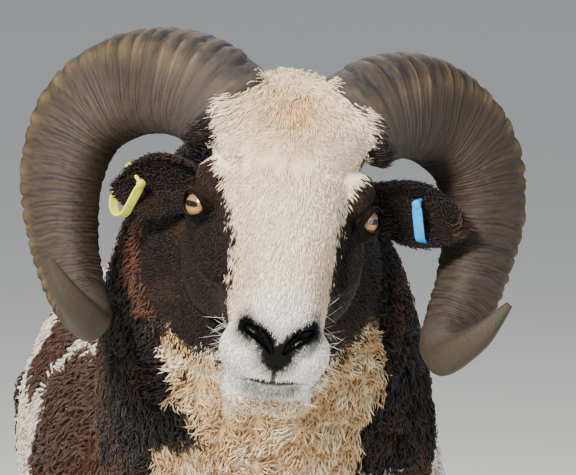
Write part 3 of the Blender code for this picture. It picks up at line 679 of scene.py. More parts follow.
def lid_fold(side):
    """A fold of skin that follows the upper lid's edge, a little above it."""
    axis, across, up = eye_axes(side)
    turns = np.linspace(*FOLD_REACH, FOLD_STEPS)
    path = []
    for turn in turns:
        aim = axis + across * LID_FOLD[0] * math.cos(turn) + up * LID_FOLD[1] * math.sin(turn)
        reach = EYE_RADIUS + LID_THICKNESS + EYE_CLEARANCE
        path.append(tuple(eye_centre(side) + aim.normalized() * reach))
    return sweep("lid fold", path, tapered(LID_FOLD_RADIUS, FOLD_STEPS), 10)


def sweep(name, path, radii, sides):
    """A tube along a path, with a radius for each point."""
    path = np.array(path, float)
    run = unit(np.gradient(path, axis=0))
    across = unit(np.cross(run, (0.13, 0.21, 0.97)))
    rings = [oval(p, a * r, np.cross(t, a) * r, sides)
             for p, t, a, r in zip(path, run, across, radii)]
    return loft(name, rings)


def surface_path(skin, rows, count):
    """A smooth path through places on the face, each moved to the nearest place on the skin."""
    tree = BVHTree.FromObject(skin, bpy.context.evaluated_depsgraph_get())
    return np.array([tree.find_nearest(Vector(p))[0] for p in face_points(smooth_rows(rows, count))])


def tapered(radius, count):
    """A radius that runs out at both ends."""
    share = np.linspace(-1, 1, count)
    return radius * (1 - 0.75 * np.abs(share) ** 3)


def horn_root(side):
    """The swell of skin out of which a horn grows."""
    rows = smooth_rows(HORN, 60)
    line = head_points(rows[:, :3] * (side, 1, 1))
    run = Vector(line[ROOT_RING + 1] - line[ROOT_RING - 1]).normalized()
    outward = HEAD.to_3x3() @ Vector((side * HORN_OUTWARD[0], *HORN_OUTWARD[1:]))
    outward = (outward - run * outward.dot(run)).normalized()
    turn = Matrix((outward, run.cross(outward), run)).transposed()
    breadth, thickness = rows[ROOT_RING, 3:5] / 2 + ROOT_SWELL
    return ball("horn root", Vector(line[ROOT_RING]), (breadth, thickness, ROOT_LENGTH), turn,
                ROUND_SIDES)


def make_head():
    """Skull, jaw and muzzle with lids, nostrils, the line of the mouth and the groove above it."""
    rings = []
    for row in smooth_rows(HEAD_SECTIONS, SKULL_RINGS):
        poll = blend_step(-row[0], 0.02, 0.07)
        rings.append(head_ring(row, HAIR_DEPTH + (POLL_DEPTH - HAIR_DEPTH) * poll))
    pieces = [loft("skull", rings)]
    for name, out, along, above, *radii in HEAD_FORMS:
        inner = [r - (FOREHEAD_DEPTH if name == "forehead" else HAIR_DEPTH * 0.6) for r in radii]
        for place in sorted({RIGHT * out, LEFT * out}):
            centre = Vector(face_points((place, along, above))[0])
            pieces.append(ball(name, centre, inner, FACE, ROUND_SIDES))
    out, along, above, *radii = CROWN
    pieces.append(ball("crown", Vector(face_points((out, along, above))[0]), radii, FACE, 48))
    pieces += [horn_root(side) for side in SIDES.values()]
    pieces = [fuse("skull", pieces, HEAD_CELL, 24)]
    for side in SIDES.values():
        pieces.append(ball("lids", eye_centre(side), [EYE_RADIUS + LID_THICKNESS] * 3, None, ROUND_SIDES))
        pieces.append(lid_fold(side))
    head = fuse("head skin", pieces, HEAD_CELL, 4)
    mirrored = [(-out, along, above) for out, along, above in reversed(MOUTH[:-1])]
    cutters = [
        sweep("mouth", surface_path(head, MOUTH + mirrored, MOUTH_STEPS),
              tapered(MOUTH_RADIUS, MOUTH_STEPS), 10),
        sweep("groove", surface_path(head, PHILTRUM, 16), [PHILTRUM_RADIUS] * 16, 8),
    ]
    for side in SIDES.values():
        cutters.append(add_lid_opening(side))
        cutters.append(ball("socket", eye_centre(side), [EYE_RADIUS + EYE_CLEARANCE] * 3, None,
                            ROUND_SIDES))
        rows = smooth_rows([(side * o, a, h, r) for o, a, h, r in NOSTRIL], NOSTRIL_STEPS)
        sunk = np.array(FACE @ Vector((0, 0, NOSTRIL_DEPTH)))
        path = surface_path(head, rows[:, :3], NOSTRIL_STEPS) - sunk
        cutters.append(sweep("nostril", path, rows[:, 3] * 1.2, 12))
    for cutter in cutters:
        combine(head, "DIFFERENCE", [cutter])
    return head


def path_rings(rows, sides, inset):
    """Rings across a path in space, whose last two numbers are half width and half depth."""
    rows = np.array(rows)
    points = rows[:, :3]
    run = unit(np.gradient(points, axis=0))
    across = np.array([1.0, 0.0, 0.0]) - run * run[:, :1]
    across = unit(across)
    up = np.cross(run, across)
    return [oval(p, a * (row[3] - inset), u * (row[4] - inset), sides, 2.2)
            for p, a, u, row in zip(points, across, up, rows)]


def limb_rings(side, rows, inset, sides=28):
    """Level rings down a limb, drawn in by the coat's depth."""
    return [oval((side * out, y, z), (width - inset, 0, 0), (0, length - inset, 0), sides)
            for out, y, z, width, length in rows]


def ear_frame(name):
    """Root, direction, the way across the leaf and the way that the cup opens."""
    side = SIDES[name]
    out, back, up = EAR_POINTS[name]
    along = Vector((side * out, back, up)).normalized()
    opens = Vector((side * EAR_OPENS[0], *EAR_OPENS[1:]))
    opens = (opens - along * opens.dot(along)).normalized()
    across = opens.cross(along) * side
    return Vector((side * EAR_ROOT[0], *EAR_ROOT[1:])), along, across, opens


def ear_place(name, share, width, curl, angle, depth):
    """A place on the cupped leaf, at an angle across it and a depth in from its back."""
    root, along, across, opens = ear_frame(name)
    reach = math.radians(curl)
    radius = EAR_HALF_WIDTH * width / math.sin(min(reach, math.pi / 2))
    bend = Vector((0, 0, -EAR_DROOP)) * share ** 2
    middle = root + along * EAR_LENGTH[name] * share + opens * radius * math.cos(reach) + bend
    turn = angle * reach
    return middle + (across * math.sin(turn) - opens * math.cos(turn)) * (radius - depth)


def make_ear(name):
    """A cupped leaf with a rounded rim."""
    swing = np.linspace(-1, 1, EAR_STEPS)
    rings = []
    for share, width, curl in smooth_rows(EAR_LEAF, EAR_RINGS):
        back = [ear_place(name, share, width, curl, a, 0.0008) for a in swing]
        rim = [ear_place(name, share, width, curl, 1.03, EAR_THICKNESS / 2)]
        front = [ear_place(name, share, width, curl, a * EAR_LIP, EAR_THICKNESS - 0.0004)
                 for a in reversed(swing)]
        near = [ear_place(name, share, width, curl, -1.03, EAR_THICKNESS / 2)]
        rings.append(head_points(back + rim + front + near))
    return loft("ear", rings)


def make_skin():
    """Barrel, neck, limbs, tail, head and ears as one closed skin."""
    barrel = [oval((0, y, z), (half_width - WOOL_DEPTH, 0, 0), (0, 0, half_height - WOOL_DEPTH),
                   56, 2.25)
              for y, z, half_width, half_height in smooth_rows(BARREL, BARREL_RINGS)]
    tail = [(0.0, *row) for row in TAIL]
    pieces = [
        loft("barrel", barrel),
        loft("neck", path_rings(smooth_rows(NECK, NECK_RINGS), 48, WOOL_DEPTH)),
        loft("tail", path_rings(smooth_rows(tail, NECK_RINGS), 28, TAIL_DEPTH)),
        ball("scrotum", SCROTUM, SCROTUM_RADII),
    ]
    lower = []
    for side in SIDES.values():
        for rows in LIMBS.values():
            whole = smooth_rows(rows, LIMB_RINGS)
            pieces.append(loft("limb", limb_rings(side, whole[whole[:, 2] > WOOL_FLOOR], 0.002)))
            shank = whole[whole[:, 2] < LEG_SKIN_START]
            shank = shank[shank[:, 2] > LEG_SKIN_END]
            lower.append(loft("shank", limb_rings(side, shank, HAIR_DEPTH * 0.7)))
    skin = fuse("skin", pieces, BODY_CELL, 8)
    shanks = [fuse("shank", [shank], LEG_CELL, 4) for shank in lower]
    combine(skin, "UNION", [make_head(), *shanks, *(make_ear(name) for name in SIDES)])
    return skin


def is_woolly(points):
    """Wool grows above the elbow and stifle and behind the cheeks."""
    away = np.linalg.norm(points - np.array(EYES), axis=1)
    return (points[:, 2] > WOOL_FLOOR) & (away > WOOL_TO_EYES)


# Patches of the coat on the body and limbs: colour, middle, and the three half lengths. Later
# ones lie over earlier ones.
PATCHES = [
    ("shoulder", (-0.190, -0.280, 0.520), (0.170, 0.300, 0.220)),
    ("shoulder", (0.095, -0.380, 0.500), (0.048, 0.110, 0.200)),
    ("shoulder", (0.215, -0.150, 0.610), (0.030, 0.045, 0.090)),
    ("collar", (0.205, -0.010, 0.560), (0.035, 0.040, 0.070)),
    ("shoulder", (0.160, 0.250, 0.560), (0.120, 0.120, 0.160)),
    ("shoulder", (-0.120, 0.130, 0.660), (0.150, 0.100, 0.100)),
    ("collar", (-0.170, 0.360, 0.520), (0.090, 0.090, 0.110)),
    ("collar", (0.030, 0.060, 0.290), (0.060, 0.120, 0.060)),
    ("shoulder", (0.095, -0.250, 0.200), (0.045, 0.050, 0.055)),
    ("shoulder", (-0.100, 0.370, 0.210), (0.050, 0.050, 0.060)),
    ("shoulder", (-0.096, -0.255, 0.090), (0.040, 0.045, 0.030)),
    ("shoulder", (0.099, 0.355, 0.100), (0.040, 0.045, 0.025)),
]
CHEST_PATCH = ((-0.150, -0.560, 0.815), (0.045, 0.060, 0.050))
COLLAR_FLOOR = 0.600
COLLAR_LINE = (-0.355, 0.55, 0.62)
BIB_FLOOR = 0.50
BIB_BACK = -0.33
EDGE_RAG = 0.11

# Edges of the pale bib: height, and how far out the edge is
BIB_LEFT_EDGE = [(0.560, -0.150), (0.600, -0.133), (0.626, -0.142), (0.646, -0.107),
                 (0.681, -0.126), (0.745, -0.135), (0.780, -0.125), (0.800, -0.080)]
BIB_RIGHT_EDGE = [(0.560, 0.045), (0.595, 0.050), (0.639, 0.044), (0.675, 0.054),
                  (0.703, 0.060), (0.745, 0.058), (0.780, 0.030), (0.800, -0.060)]


def body_colour(points):
    """Colour of the wool and leg hair by its place on the ram."""
    x, y, z = points.T
    ragged = EDGE_RAG * wobble(points, 0.07, 1) + 0.05 * wobble(points, 0.018, 2)
    colour = np.tile(PAINT["flank"], (len(points), 1))
    colour = mix(colour, PAINT["flank root"], 0.20 * (1 + wobble(points, 0.07, 3)).clip(0, 1))
    legs = z < WOOL_FLOOR
    colour[legs] = PAINT["leg"]
    for name, centre, radii in PATCHES:
        inside = np.linalg.norm((points - centre) / radii, axis=1) + ragged < 1
        tone = mix(PAINT[name], PAINT["chestnut"], 0.35 * (1 + wobble(points, 0.03, 4)).clip(0, 1))
        colour[inside] = tone[inside]
    back, slope, level = COLLAR_LINE
    collar_line = back - slope * (z - level) + 0.012 * ragged / EDGE_RAG
    collar = (y < collar_line) & (z > COLLAR_FLOOR)
    tone = mix(PAINT["collar"], PAINT["chestnut"], blend_step(wobble(points, 0.09, 5), -0.2, 1.2) * 0.5)
    colour[collar] = tone[collar]
    centre, radii = CHEST_PATCH
    chestnut = np.linalg.norm((points - centre) / radii, axis=1) + ragged < 1
    colour[chestnut] = PAINT["chestnut"]
    heights, lefts = zip(*BIB_LEFT_EDGE)
    low = np.interp(z, heights, lefts)
    heights, rights = zip(*BIB_RIGHT_EDGE)
    high = np.interp(z, heights, rights)
    edge = 0.008 * ragged / EDGE_RAG
    bib = (x > low + edge) & (x < high + edge) & (y < BIB_BACK) & (z > BIB_FLOOR)
    pale = blend_step(wobble(points, 0.022, 6), -0.4, 0.9)
    tone = mix(PAINT["bib"], PAINT["bib pale"], pale)
    colour[bib] = tone[bib]
    return colour


def nose_distance(face):
    """How far each place is from the black skin of the nose, in face coordinates."""
    rows = smooth_rows(NOSTRIL, NOSTRIL_STEPS)[:, :3]
    pad = np.array(NOSE_PAD)
    deep = rows - (0, 0, 2 * NOSTRIL_DEPTH)
    spots = np.vstack([rows, rows * (-1, 1, 1), deep, deep * (-1, 1, 1), pad, pad * (-1, 1, 1)])
    gaps = np.stack([np.linalg.norm(face - spot, axis=1) for spot in spots], 1)
    gaps[:, -2 * len(pad):] -= PAD_MARGIN
    return gaps.min(axis=1)


def is_white_face(face, spread=0.0):
    """The blaze down the face and the whole muzzle."""
    out, along, above = face.T
    ragged = 0.0025 * wobble(face, 0.012, 7) + 0.002 * wobble(face, 0.005, 8)
    places, widths = zip(*BLAZE)
    half = np.interp(along, places, widths) + ragged + spread
    on_top = (np.abs(out) < half) & (above > WHITE_SIDES)
    muzzle = along + 0.35 * np.clip(-above - 0.03, 0, 0.1) > MUZZLE_START + ragged * 2
    return on_top | muzzle


def face_colour(points):
    """Colour of the short hair of the head by its place."""
    face = to_face(points)
    out, along, above = face.T
    brown = blend_step(wobble(face, 0.05, 9), -0.3, 1.3) * 0.6
    dark = mix(PAINT["face"], PAINT["face brown"], brown)
    white = mix(PAINT["blaze"], PAINT["muzzle"], blend_step(along, 0.07, 0.13))
    beige = np.exp(-((out + 0.006) / 0.040) ** 2 - ((along + 0.062) / 0.046) ** 2)
    white = mix(white, PAINT["forehead"], beige * (0.75 + 0.25 * wobble(face, 0.012, 12)).clip(0, 1))
    cream = np.exp(-((np.abs(out) - 0.038) / 0.014) ** 2 - ((along - 0.085) / 0.045) ** 2)
    white = mix(white, PAINT["forehead"], 0.30 * cream)
    colour = np.where(is_white_face(face)[:, None], white, dark)
    near = nose_distance(face)
    speckle = blend_step(wobble(face, 0.0035, 10), -0.5, 0.9)
    lip = (1 - blend_step(near, 0.008, 0.024)) * (0.25 + 0.6 * speckle)
    lip *= 1 - 0.8 * blend_step(above, 0.004, 0.014) * (1 - blend_step(np.abs(out), 0.018, 0.028))
    colour = mix(colour, PAINT["lip grey"], lip * (along > NOSE_START))
    band = blend_step(-above, LOWER_LIP[0], LOWER_LIP[0] + 0.003)
    band *= 1 - blend_step(-above, *LOWER_LIP[1:])
    band *= (1 - blend_step(np.abs(out), 0.020, 0.031)) * (along > 0.12)
    colour = mix(colour, PAINT["lower lip"], 0.9 * band * (0.6 + 0.4 * speckle))
    for side in SIDES.values():
        axis, across = eye_axes(side)[:2]
        duct = eye_centre(side) - across * side * LID_OPENING[0] * 1.2 + axis * EYE_RADIUS
        gap = np.linalg.norm(points - np.array(duct), axis=1)
        colour = mix(colour, PAINT["tear"], 0.5 * np.exp(-(gap / 0.006) ** 2))
    return colour


def coat_colour(points):
    return np.where(is_woolly(points)[:, None] | (points[:, 2] < WOOL_FLOOR)[:, None],
                    body_colour(points), face_colour(points))


def bare_skin_colour(points):
    """Colour of the skin under the coat, which shows at the nose, lips and eyes."""
    # The coat's colour darkened to 0.72 is painted shade under the hair.
    colour = coat_colour(points) * 0.72
    face = to_face(points)
    near = nose_distance(face)
    nose = 1 - blend_step(near + 0.0012 * wobble(face, 0.004, 11), *NOSE_EDGE)
    on_nose = face[:, 1] > NOSE_START
    grey = (1 - blend_step(near, 0.007, 0.022)) * 0.75
    colour = mix(colour, PAINT["lip grey"] * 0.45, grey * on_nose)
    colour = mix(colour, PAINT["nose"], nose * on_nose)
    seam = np.minimum(mouth_gap(points), philtrum_gap(points) + 0.001)
    colour = mix(colour, PAINT["nose"], 0.9 * (1 - blend_step(seam, *SEAM_EDGE)))
    for side in SIDES.values():
        gap = np.linalg.norm(points - np.array(eye_centre(side)), axis=1)
        lid_share = 1 - blend_step(gap, EYE_RADIUS + 0.0040, EYE_RADIUS + 0.0065)
        colour = mix(colour, PAINT["lid"], lid_share)
    return colour, nose * on_nose


def store(mesh, name, kind, values):
    """Writes a value for each point of the mesh as an attribute."""
    layer = mesh.attributes.new(name, kind, "POINT")
    key = {"FLOAT_COLOR": "color", "FLOAT": "value", "FLOAT_VECTOR": "vector"}[kind]
    if kind == "FLOAT_COLOR":
        values = np.hstack([values, np.ones((len(values), 1))])
    layer.data.foreach_set(key, np.ascontiguousarray(values, np.float32).ravel())


def mesh_points(mesh):
    found = np.empty(len(mesh.vertices) * 3, np.float32)
    mesh.vertices.foreach_get("co", found)
    return found.reshape(-1, 3).astype(float)


def add_node(tree, kind, settings=None, **links):
    """Adds a node, sets its properties and inputs, and links sockets given as values."""
    node = tree.nodes.new(kind)
    for key, value in (settings or {}).items():
        if isinstance(key, str) and hasattr(node, key):
            setattr(node, key, value)
        else:
            node.inputs[key].default_value = value
    for key, source in links.items():
        socket = node.inputs[int(key[1:])] if key[1:].isdigit() else node.inputs[key.replace("_", " ")]
        tree.links.new(source, socket)
    return node


def new_material(name, settings):
    """A material with one Principled shader, and its tree."""
    material = bpy.data.materials.new(name)
    material.use_nodes = True
    tree = material.node_tree
    shader = tree.nodes["Principled BSDF"]
    for key, value in settings.items():
        shader.inputs[key].default_value = value
    return material, tree, shader


def link_bump(tree, shader, height, strength, distance):
    bump = add_node(tree, "ShaderNodeBump", {"Strength": strength, "Distance": distance},
                    Height=height)
    tree.links.new(bump.outputs["Normal"], shader.inputs["Normal"])


def fibre_material(name, roughness, sheen):
    """Fibres whose colour is laid down strand by strand, duller than hair where it is wool."""
    material, tree, shader = new_material(name, {
        "Roughness": roughness, "Sheen Weight": sheen, "Sheen Roughness": 0.5, "IOR": 1.40})
    colour = add_node(tree, "ShaderNodeAttribute", {"attribute_name": "coat"})
    tree.links.new(colour.outputs["Color"], shader.inputs["Base Color"])
    return material


def skin_material():
    """Hide with a matted undercoat: dull, finely pitted, and moist and pebbled on the nose."""
    material, tree, shader = new_material("hide", {"IOR": 1.40, "Specular IOR Level": 0.12})
    colour = add_node(tree, "ShaderNodeAttribute", {"attribute_name": "coat"})
    wet = add_node(tree, "ShaderNodeAttribute", {"attribute_name": "moist"})
    place = add_node(tree, "ShaderNodeTexCoord")
    pebbles = add_node(tree, "ShaderNodeTexVoronoi", {"Scale": 560.0}, Vector=place.outputs["Object"])
    rough = add_node(tree, "ShaderNodeMapRange", {"To Min": 0.90, "To Max": 0.24},
                     Value=wet.outputs["Fac"])
    tree.links.new(colour.outputs["Color"], shader.inputs["Base Color"])
    tree.links.new(rough.outputs["Result"], shader.inputs["Roughness"])
    link_bump(tree, shader, pebbles.outputs["Distance"], 0.35, 0.0008)
    return material


def sample_skin(mesh, spacing, seed, allowed):
    """Roots spread evenly over the skin, with their normals."""
    mesh.calc_loop_triangles()
    count = len(mesh.loop_triangles)
    corners = np.empty(count * 3, np.int32)
    mesh.loop_triangles.foreach_get("vertices", corners)
    corners = corners.reshape(-1, 3)
    points = mesh_points(mesh)
    normals = np.empty(len(points) * 3, np.float32)
    mesh.vertices.foreach_get("normal", normals)
    normals = normals.reshape(-1, 3).astype(float)
    a, b, c = (points[corners[:, k]] for k in range(3))
    wanted = allowed((a + b + c) / 3)
    corners, a, b, c = corners[wanted], a[wanted], b[wanted], c[wanted]
    areas = np.linalg.norm(np.cross(b - a, c - a), axis=1) / 2
    draw = np.random.default_rng(seed)
    tries = int(3.2 * areas.sum() / spacing ** 2)
    picked = draw.choice(len(areas), tries, p=areas / areas.sum())
    u, v = draw.random(tries), draw.random(tries)
    fold = u + v > 1
    u[fold], v[fold] = 1 - u[fold], 1 - v[fold]
    w = 1 - u - v
    roots = a[picked] * w[:, None] + b[picked] * u[:, None] + c[picked] * v[:, None]
    facing = sum(normals[corners[picked, k]] * q[:, None] for k, q in enumerate((w, u, v)))
    cells = np.floor(roots / spacing).astype(np.int64)
    keys = (cells[:, 0] * 73856093) ^ (cells[:, 1] * 19349663) ^ (cells[:, 2] * 83492791)
    first = np.sort(np.unique(keys, return_index=True)[1])
    keep = allowed(roots[first])
    return roots[first][keep], unit(facing[first][keep])


def tangent(directions, normals):
    """Directions laid flat on the skin."""
    return unit(directions - normals * (directions * normals).sum(axis=1, keepdims=True))


def grow(roots, normals, lie, length, width, lift, bend, rings, draw, crimp=0.0, curls=1.0,
         pull=None, flat=0.7):
    """Points of bent, tapered tufts: rings of three points from under the skin, and a tip."""
    count = len(roots)
    across = unit(np.cross(normals, lie))
    steps = np.linspace(0, 1, rings + 1)
    spin = draw.uniform(0, 2 * math.pi, count)
    length, width, lift, bend = (np.broadcast_to(q, count) for q in (length, width, lift, bend))
    path = []
    for t in steps:
        angle = lift * (1 - bend * t)
        rise = np.sin(angle) * t - 0.10 * (1 - t)
        reach = np.cos(angle) * t
        wave = crimp * np.sin(2 * math.pi * curls * t + spin) * t
        sway = crimp * np.cos(2 * math.pi * curls * t + spin) * t
        centre = roots + (normals * (rise + 0.6 * sway)[:, None] + lie * reach[:, None]
                          + across * wave[:, None]) * length[:, None]
        if pull is not None:
            centre = centre + pull * (t ** 1.6)
        path.append(centre)
    path = np.stack(path, 1)
    run = unit(np.gradient(path, axis=1))
    side = unit(np.cross(np.broadcast_to(normals[:, None], run.shape), run))
    over = np.cross(run, side)
    shape = np.sqrt(np.clip(1 - steps[:-1] ** 2.2, 0.05, 1))
    turn = draw.uniform(0, 2 * math.pi, count)[:, None]
    found = []
    for k in range(3):
        angle = turn + 2 * math.pi * k / 3
        radius = width[:, None] * shape
        found.append(path[:, :-1] + side[:, :-1] * (np.cos(angle) * radius)[..., None]
                     + over[:, :-1] * (np.sin(angle) * radius * flat)[..., None])
    body = np.stack(found, 2).reshape(count, rings * 3, 3)
    return np.concatenate([body, path[:, -1:]], axis=1)


def tuft_faces(rings):
    """Triangles of one tuft: its root's cap, its sides and its tip."""
    faces = [(2, 1, 0)]
    for r in range(rings - 1):
        for k in range(3):
            a, b = r * 3 + k, r * 3 + (k + 1) % 3
            faces += [(a, b, b + 3), (a, b + 3, a + 3)]
    tip = rings * 3
    for k in range(3):
        faces.append((tip - 3 + k, tip - 3 + (k + 1) % 3, tip))
    return np.array(faces)


def add_coat(name, points, rings, colours, unwrap, material):
    """Joined meshes of tufts, each piece under the limit, with their colours and bake map."""
    pattern = tuft_faces(rings)
    size = rings * 3 + 1
    batch = PIECE_LIMIT // len(pattern)
    for number, start in enumerate(range(0, len(points), batch), 1):
        part = points[start:start + batch]
        count = len(part)
        faces = (pattern[None] + (np.arange(count) * size)[:, None, None]).reshape(-1, 3)
        mesh = bpy.data.meshes.new(name)
        mesh.vertices.add(count * size)
        mesh.vertices.foreach_set("co", part.astype(np.float32).ravel())
        mesh.loops.add(len(faces) * 3)
        mesh.loops.foreach_set("vertex_index", faces.astype(np.int32).ravel())
        mesh.polygons.add(len(faces))
        mesh.polygons.foreach_set("loop_start", np.arange(0, len(faces) * 3, 3, dtype=np.int32))
        mesh.polygons.foreach_set("use_smooth", np.ones(len(faces), bool))
        mesh.update(calc_edges=True)
        root = unwrap[start:start + batch]
        local = np.arange(size)
        spot = np.stack([(local % 3 - 1) / 2, local // 3 / rings - 0.5], 1) * UV_PATCH
        uv = (root[:, None] + spot[None]).reshape(-1, 2)[faces.ravel()]
        layer = mesh.uv_layers.new(name="OFBake")
        layer.data.foreach_set("uv", uv.astype(np.float32).ravel())
        store(mesh, "coat", "FLOAT_COLOR", colours[start:start + batch].reshape(-1, 3))
        mesh.materials.append(material)
        obj = bpy.data.objects.new(f"{name}_{number}", mesh)
        bpy.context.scene.collection.objects.link(obj)
        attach(obj, "root")


def strand_colours(base, rings, draw, root_shade, tip_shade, spread):
    """Each tuft's colour from root to tip, with chance variation between tufts; the scale from root_shade
    to tip_shade is painted shade among the strands near the root and painted light on the tips.
    """
    count = len(base)
    steps = np.append(np.repeat(np.arange(rings) / rings, 3), 1.0)
    shade = root_shade + (tip_shade - root_shade) * steps
    vary = draw.normal(1.0, spread, count).clip(0.5, 1.6)
    return (base[:, None] * shade[None, :, None] * vary[:, None, None]).clip(0, 1)


def round_unwrap(points, centre, axis):
    """A place on the bake map from the turn round an axis and the way along it."""
    first, second = (k for k in range(3) if k != axis)
    turn = np.arctan2(points[:, first] - centre[first], points[:, second] - centre[second])
    span = points[:, axis]
    low, high = span.min(), span.max()
    return np.stack([0.5 + turn / (2 * math.pi) * MAP_SPAN,
                     MAP_EDGE + MAP_SPAN * (span - low) / (high - low)], 1)


def horn_axis_distance(points):
    """For each place, how far out it is in the nearest section of a horn, 1 on the horn itself."""
    best = np.full(len(points), FAR)
    for side in SIDES.values():
        rows = smooth_rows(HORN, 90)[HORN_SHOWN:]
        line = rows[:, :3] * (side, 1, 1)
        run = unit(np.gradient(line, axis=0))
        outward = np.array([side * HORN_OUTWARD[0], *HORN_OUTWARD[1:]])
        local = (points - np.array(EYES)) @ np.array(HEAD.to_3x3())
        for place, ahead, row in zip(line, run, rows):
            outward = unit(outward - ahead * (outward @ ahead))
            forward = np.cross(ahead, outward)
            offset = local - place
            level = np.abs(offset @ ahead) < 0.006
            u = np.abs(offset @ outward) / (row[3] / 2)
            v = np.abs(offset @ forward) / (row[4] / 2)
            gap = (u ** HORN_SQUARENESS + v ** HORN_SQUARENESS) ** (1 / HORN_SQUARENESS)
            best = np.where(level, np.minimum(best, gap), best)
    return best


def outside_horns(points):
    return horn_axis_distance(points) > HORN_MARGIN


def lid_spread(points):
    """How far each place lies from the eyes' openings, 1 on their edge, and the way out from them."""
    best = np.full(len(points), FAR)
    away = np.zeros_like(points)
    for side in SIDES.values():
        axis, across, up = (np.array(v) for v in eye_axes(side))
        offset = points - np.array(eye_centre(side))
        u, v = offset @ across, offset @ up
        wide = (np.abs(u) / LID_OPENING[0]) ** LID_SQUARENESS
        tall = (np.abs(v) / LID_OPENING[1]) ** LID_SQUARENESS
        spread = (wide + tall) ** (1 / LID_SQUARENESS)
        spread[offset @ axis < 0] = FAR
        nearer = spread < best
        best[nearer] = spread[nearer]
        away[nearer] = (np.outer(u, across) + np.outer(v, up))[nearer]
    return best, unit(away)


def lid_gap(points):
    """Distance to the middle of the nearer eye."""
    gaps = [np.linalg.norm(points - np.array(eye_centre(side)), axis=1) for side in SIDES.values()]
    return np.minimum(*gaps)


def mouth_gap(points):
    """Distance to the line of the mouth."""
    mirrored = [(-out, along, above) for out, along, above in reversed(MOUTH[:-1])]
    path = face_points(smooth_rows(MOUTH + mirrored, MOUTH_STEPS))
    return np.min([np.linalg.norm(points - p, axis=1) for p in path], axis=0)


def philtrum_gap(points):
    """Distance to the groove under the nose."""
    path = face_points(smooth_rows(PHILTRUM, 20))
    return np.min([np.linalg.norm(points - p, axis=1) for p in path], axis=0)


def ear_gap(points):
    """Distance to the middle line of the nearer ear."""
    best = np.full(len(points), FAR)
    for name in SIDES:
        root, along = ear_frame(name)[:2]
        for share in np.linspace(0.15, EAR_TIP_SHARE, 16):
            middle = root + along * EAR_LENGTH[name] * share - Vector((0, 0, EAR_DROOP)) * share ** 2
            spot = head_points([tuple(middle)])[0]
            best = np.minimum(best, np.linalg.norm(points - spot, axis=1))
    return best


def face_hair(skin, hair):
    """Short hair of the face, combed away from the eyes and shortest round them and the nose."""
    draw = np.random.default_rng(SEEDS["face"])

    def on_head(points):
        near = np.linalg.norm(points - np.array(EYES), axis=1) < WOOL_TO_EYES + 0.012
        return near & (points[:, 2] > HEAD_FLOOR) & (ear_gap(points) > 0.034)

    roots, normals = sample_skin(skin.data, ROOT_SPACING["face"], SEEDS["face"] + 1, on_head)
    face = to_face(roots)
    near_nose = nose_distance(face)
    bald = 1 - blend_step(near_nose, 0.0060, 0.0115)
    spread, off_eye = lid_spread(roots)
    keep = (spread > LID_MARGIN) & outside_horns(roots) & (lid_gap(roots) > EYE_RADIUS + 0.0012)
    keep &= draw.random(len(roots)) > bald
    keep &= (mouth_gap(roots) > MOUTH_MARGIN) & (philtrum_gap(roots) > PHILTRUM_MARGIN)
    keep &= ~on_poll(face)
    roots, normals, face = roots[keep], normals[keep], face[keep]
    out, along, above = face.T
    near_nose, spread, off_eye = near_nose[keep], spread[keep], off_eye[keep]
    poll = blend_step(-along, 0.000, 0.060) * blend_step(above, -0.02, 0.02)
    white = is_white_face(face)
    down = np.array(FACE @ Vector((0, -1, 0)))
    outward = np.array(FACE @ Vector((1, 0, 0)))
    backward = np.array(HEAD.to_3x3() @ Vector((0, 0.9, -0.45)))
    fan = np.clip(out / 0.05, -1.2, 1.2)
    front = blend_step(above, -0.045, 0.02)
    lie = (down * (0.9 - 1.3 * poll * blend_step(-along, 0.05, 0.11))[:, None]
           + outward * (fan * (0.55 + 0.5 * poll))[:, None])
    lie = lie * front[:, None] + backward * (1 - front)[:, None]
    lie = lie + off_eye * (1.6 * (1 - blend_step(spread, 1.2, 2.6)))[:, None]
    lie = tangent(lie + draw.normal(0, 0.16, lie.shape) + 0.25 * poll[:, None]
                  * np.stack([wobble(face, 0.02, s) for s in (31, 32, 33)], 1), normals)
    small = blend_step(spread, 1.1, 2.8)
    small = np.minimum(small, blend_step(near_nose, 0.004, 0.034))
    small = np.minimum(small, 0.25 + 0.75 * blend_step(mouth_gap(roots), 0.002, 0.014))
    base = FACE_HAIR_LENGTH[0] + FACE_HAIR_LENGTH[1] * white
    length = base * (0.26 + 0.74 * small) * (1 + 0.5 * poll) * draw.uniform(0.75, 1.2, len(roots))
    thin, open_cheek, on_top = FACE_HAIR_WIDTH
    width = (thin + open_cheek * small + on_top * poll) * draw.uniform(0.8, 1.25, len(roots))
    lift = np.radians(FACE_HAIR_LIFT[0] + FACE_HAIR_LIFT[1] * poll) * draw.uniform(0.6, 1.4, len(roots))
    shapes = grow(roots, normals, lie, length, width, lift, 0.45, 2, draw)
    ragged = roots + draw.normal(0, 0.0012, roots.shape)
    colours = strand_colours(face_colour(ragged), 2, draw, 0.70, 1.08, 0.13)
    order = np.argsort(out)
    unwrap = round_unwrap(face, (0.0, 0.0, -0.03), 1)
    add_coat("coat_face", shapes[order], 2, colours[order], unwrap[order], hair)


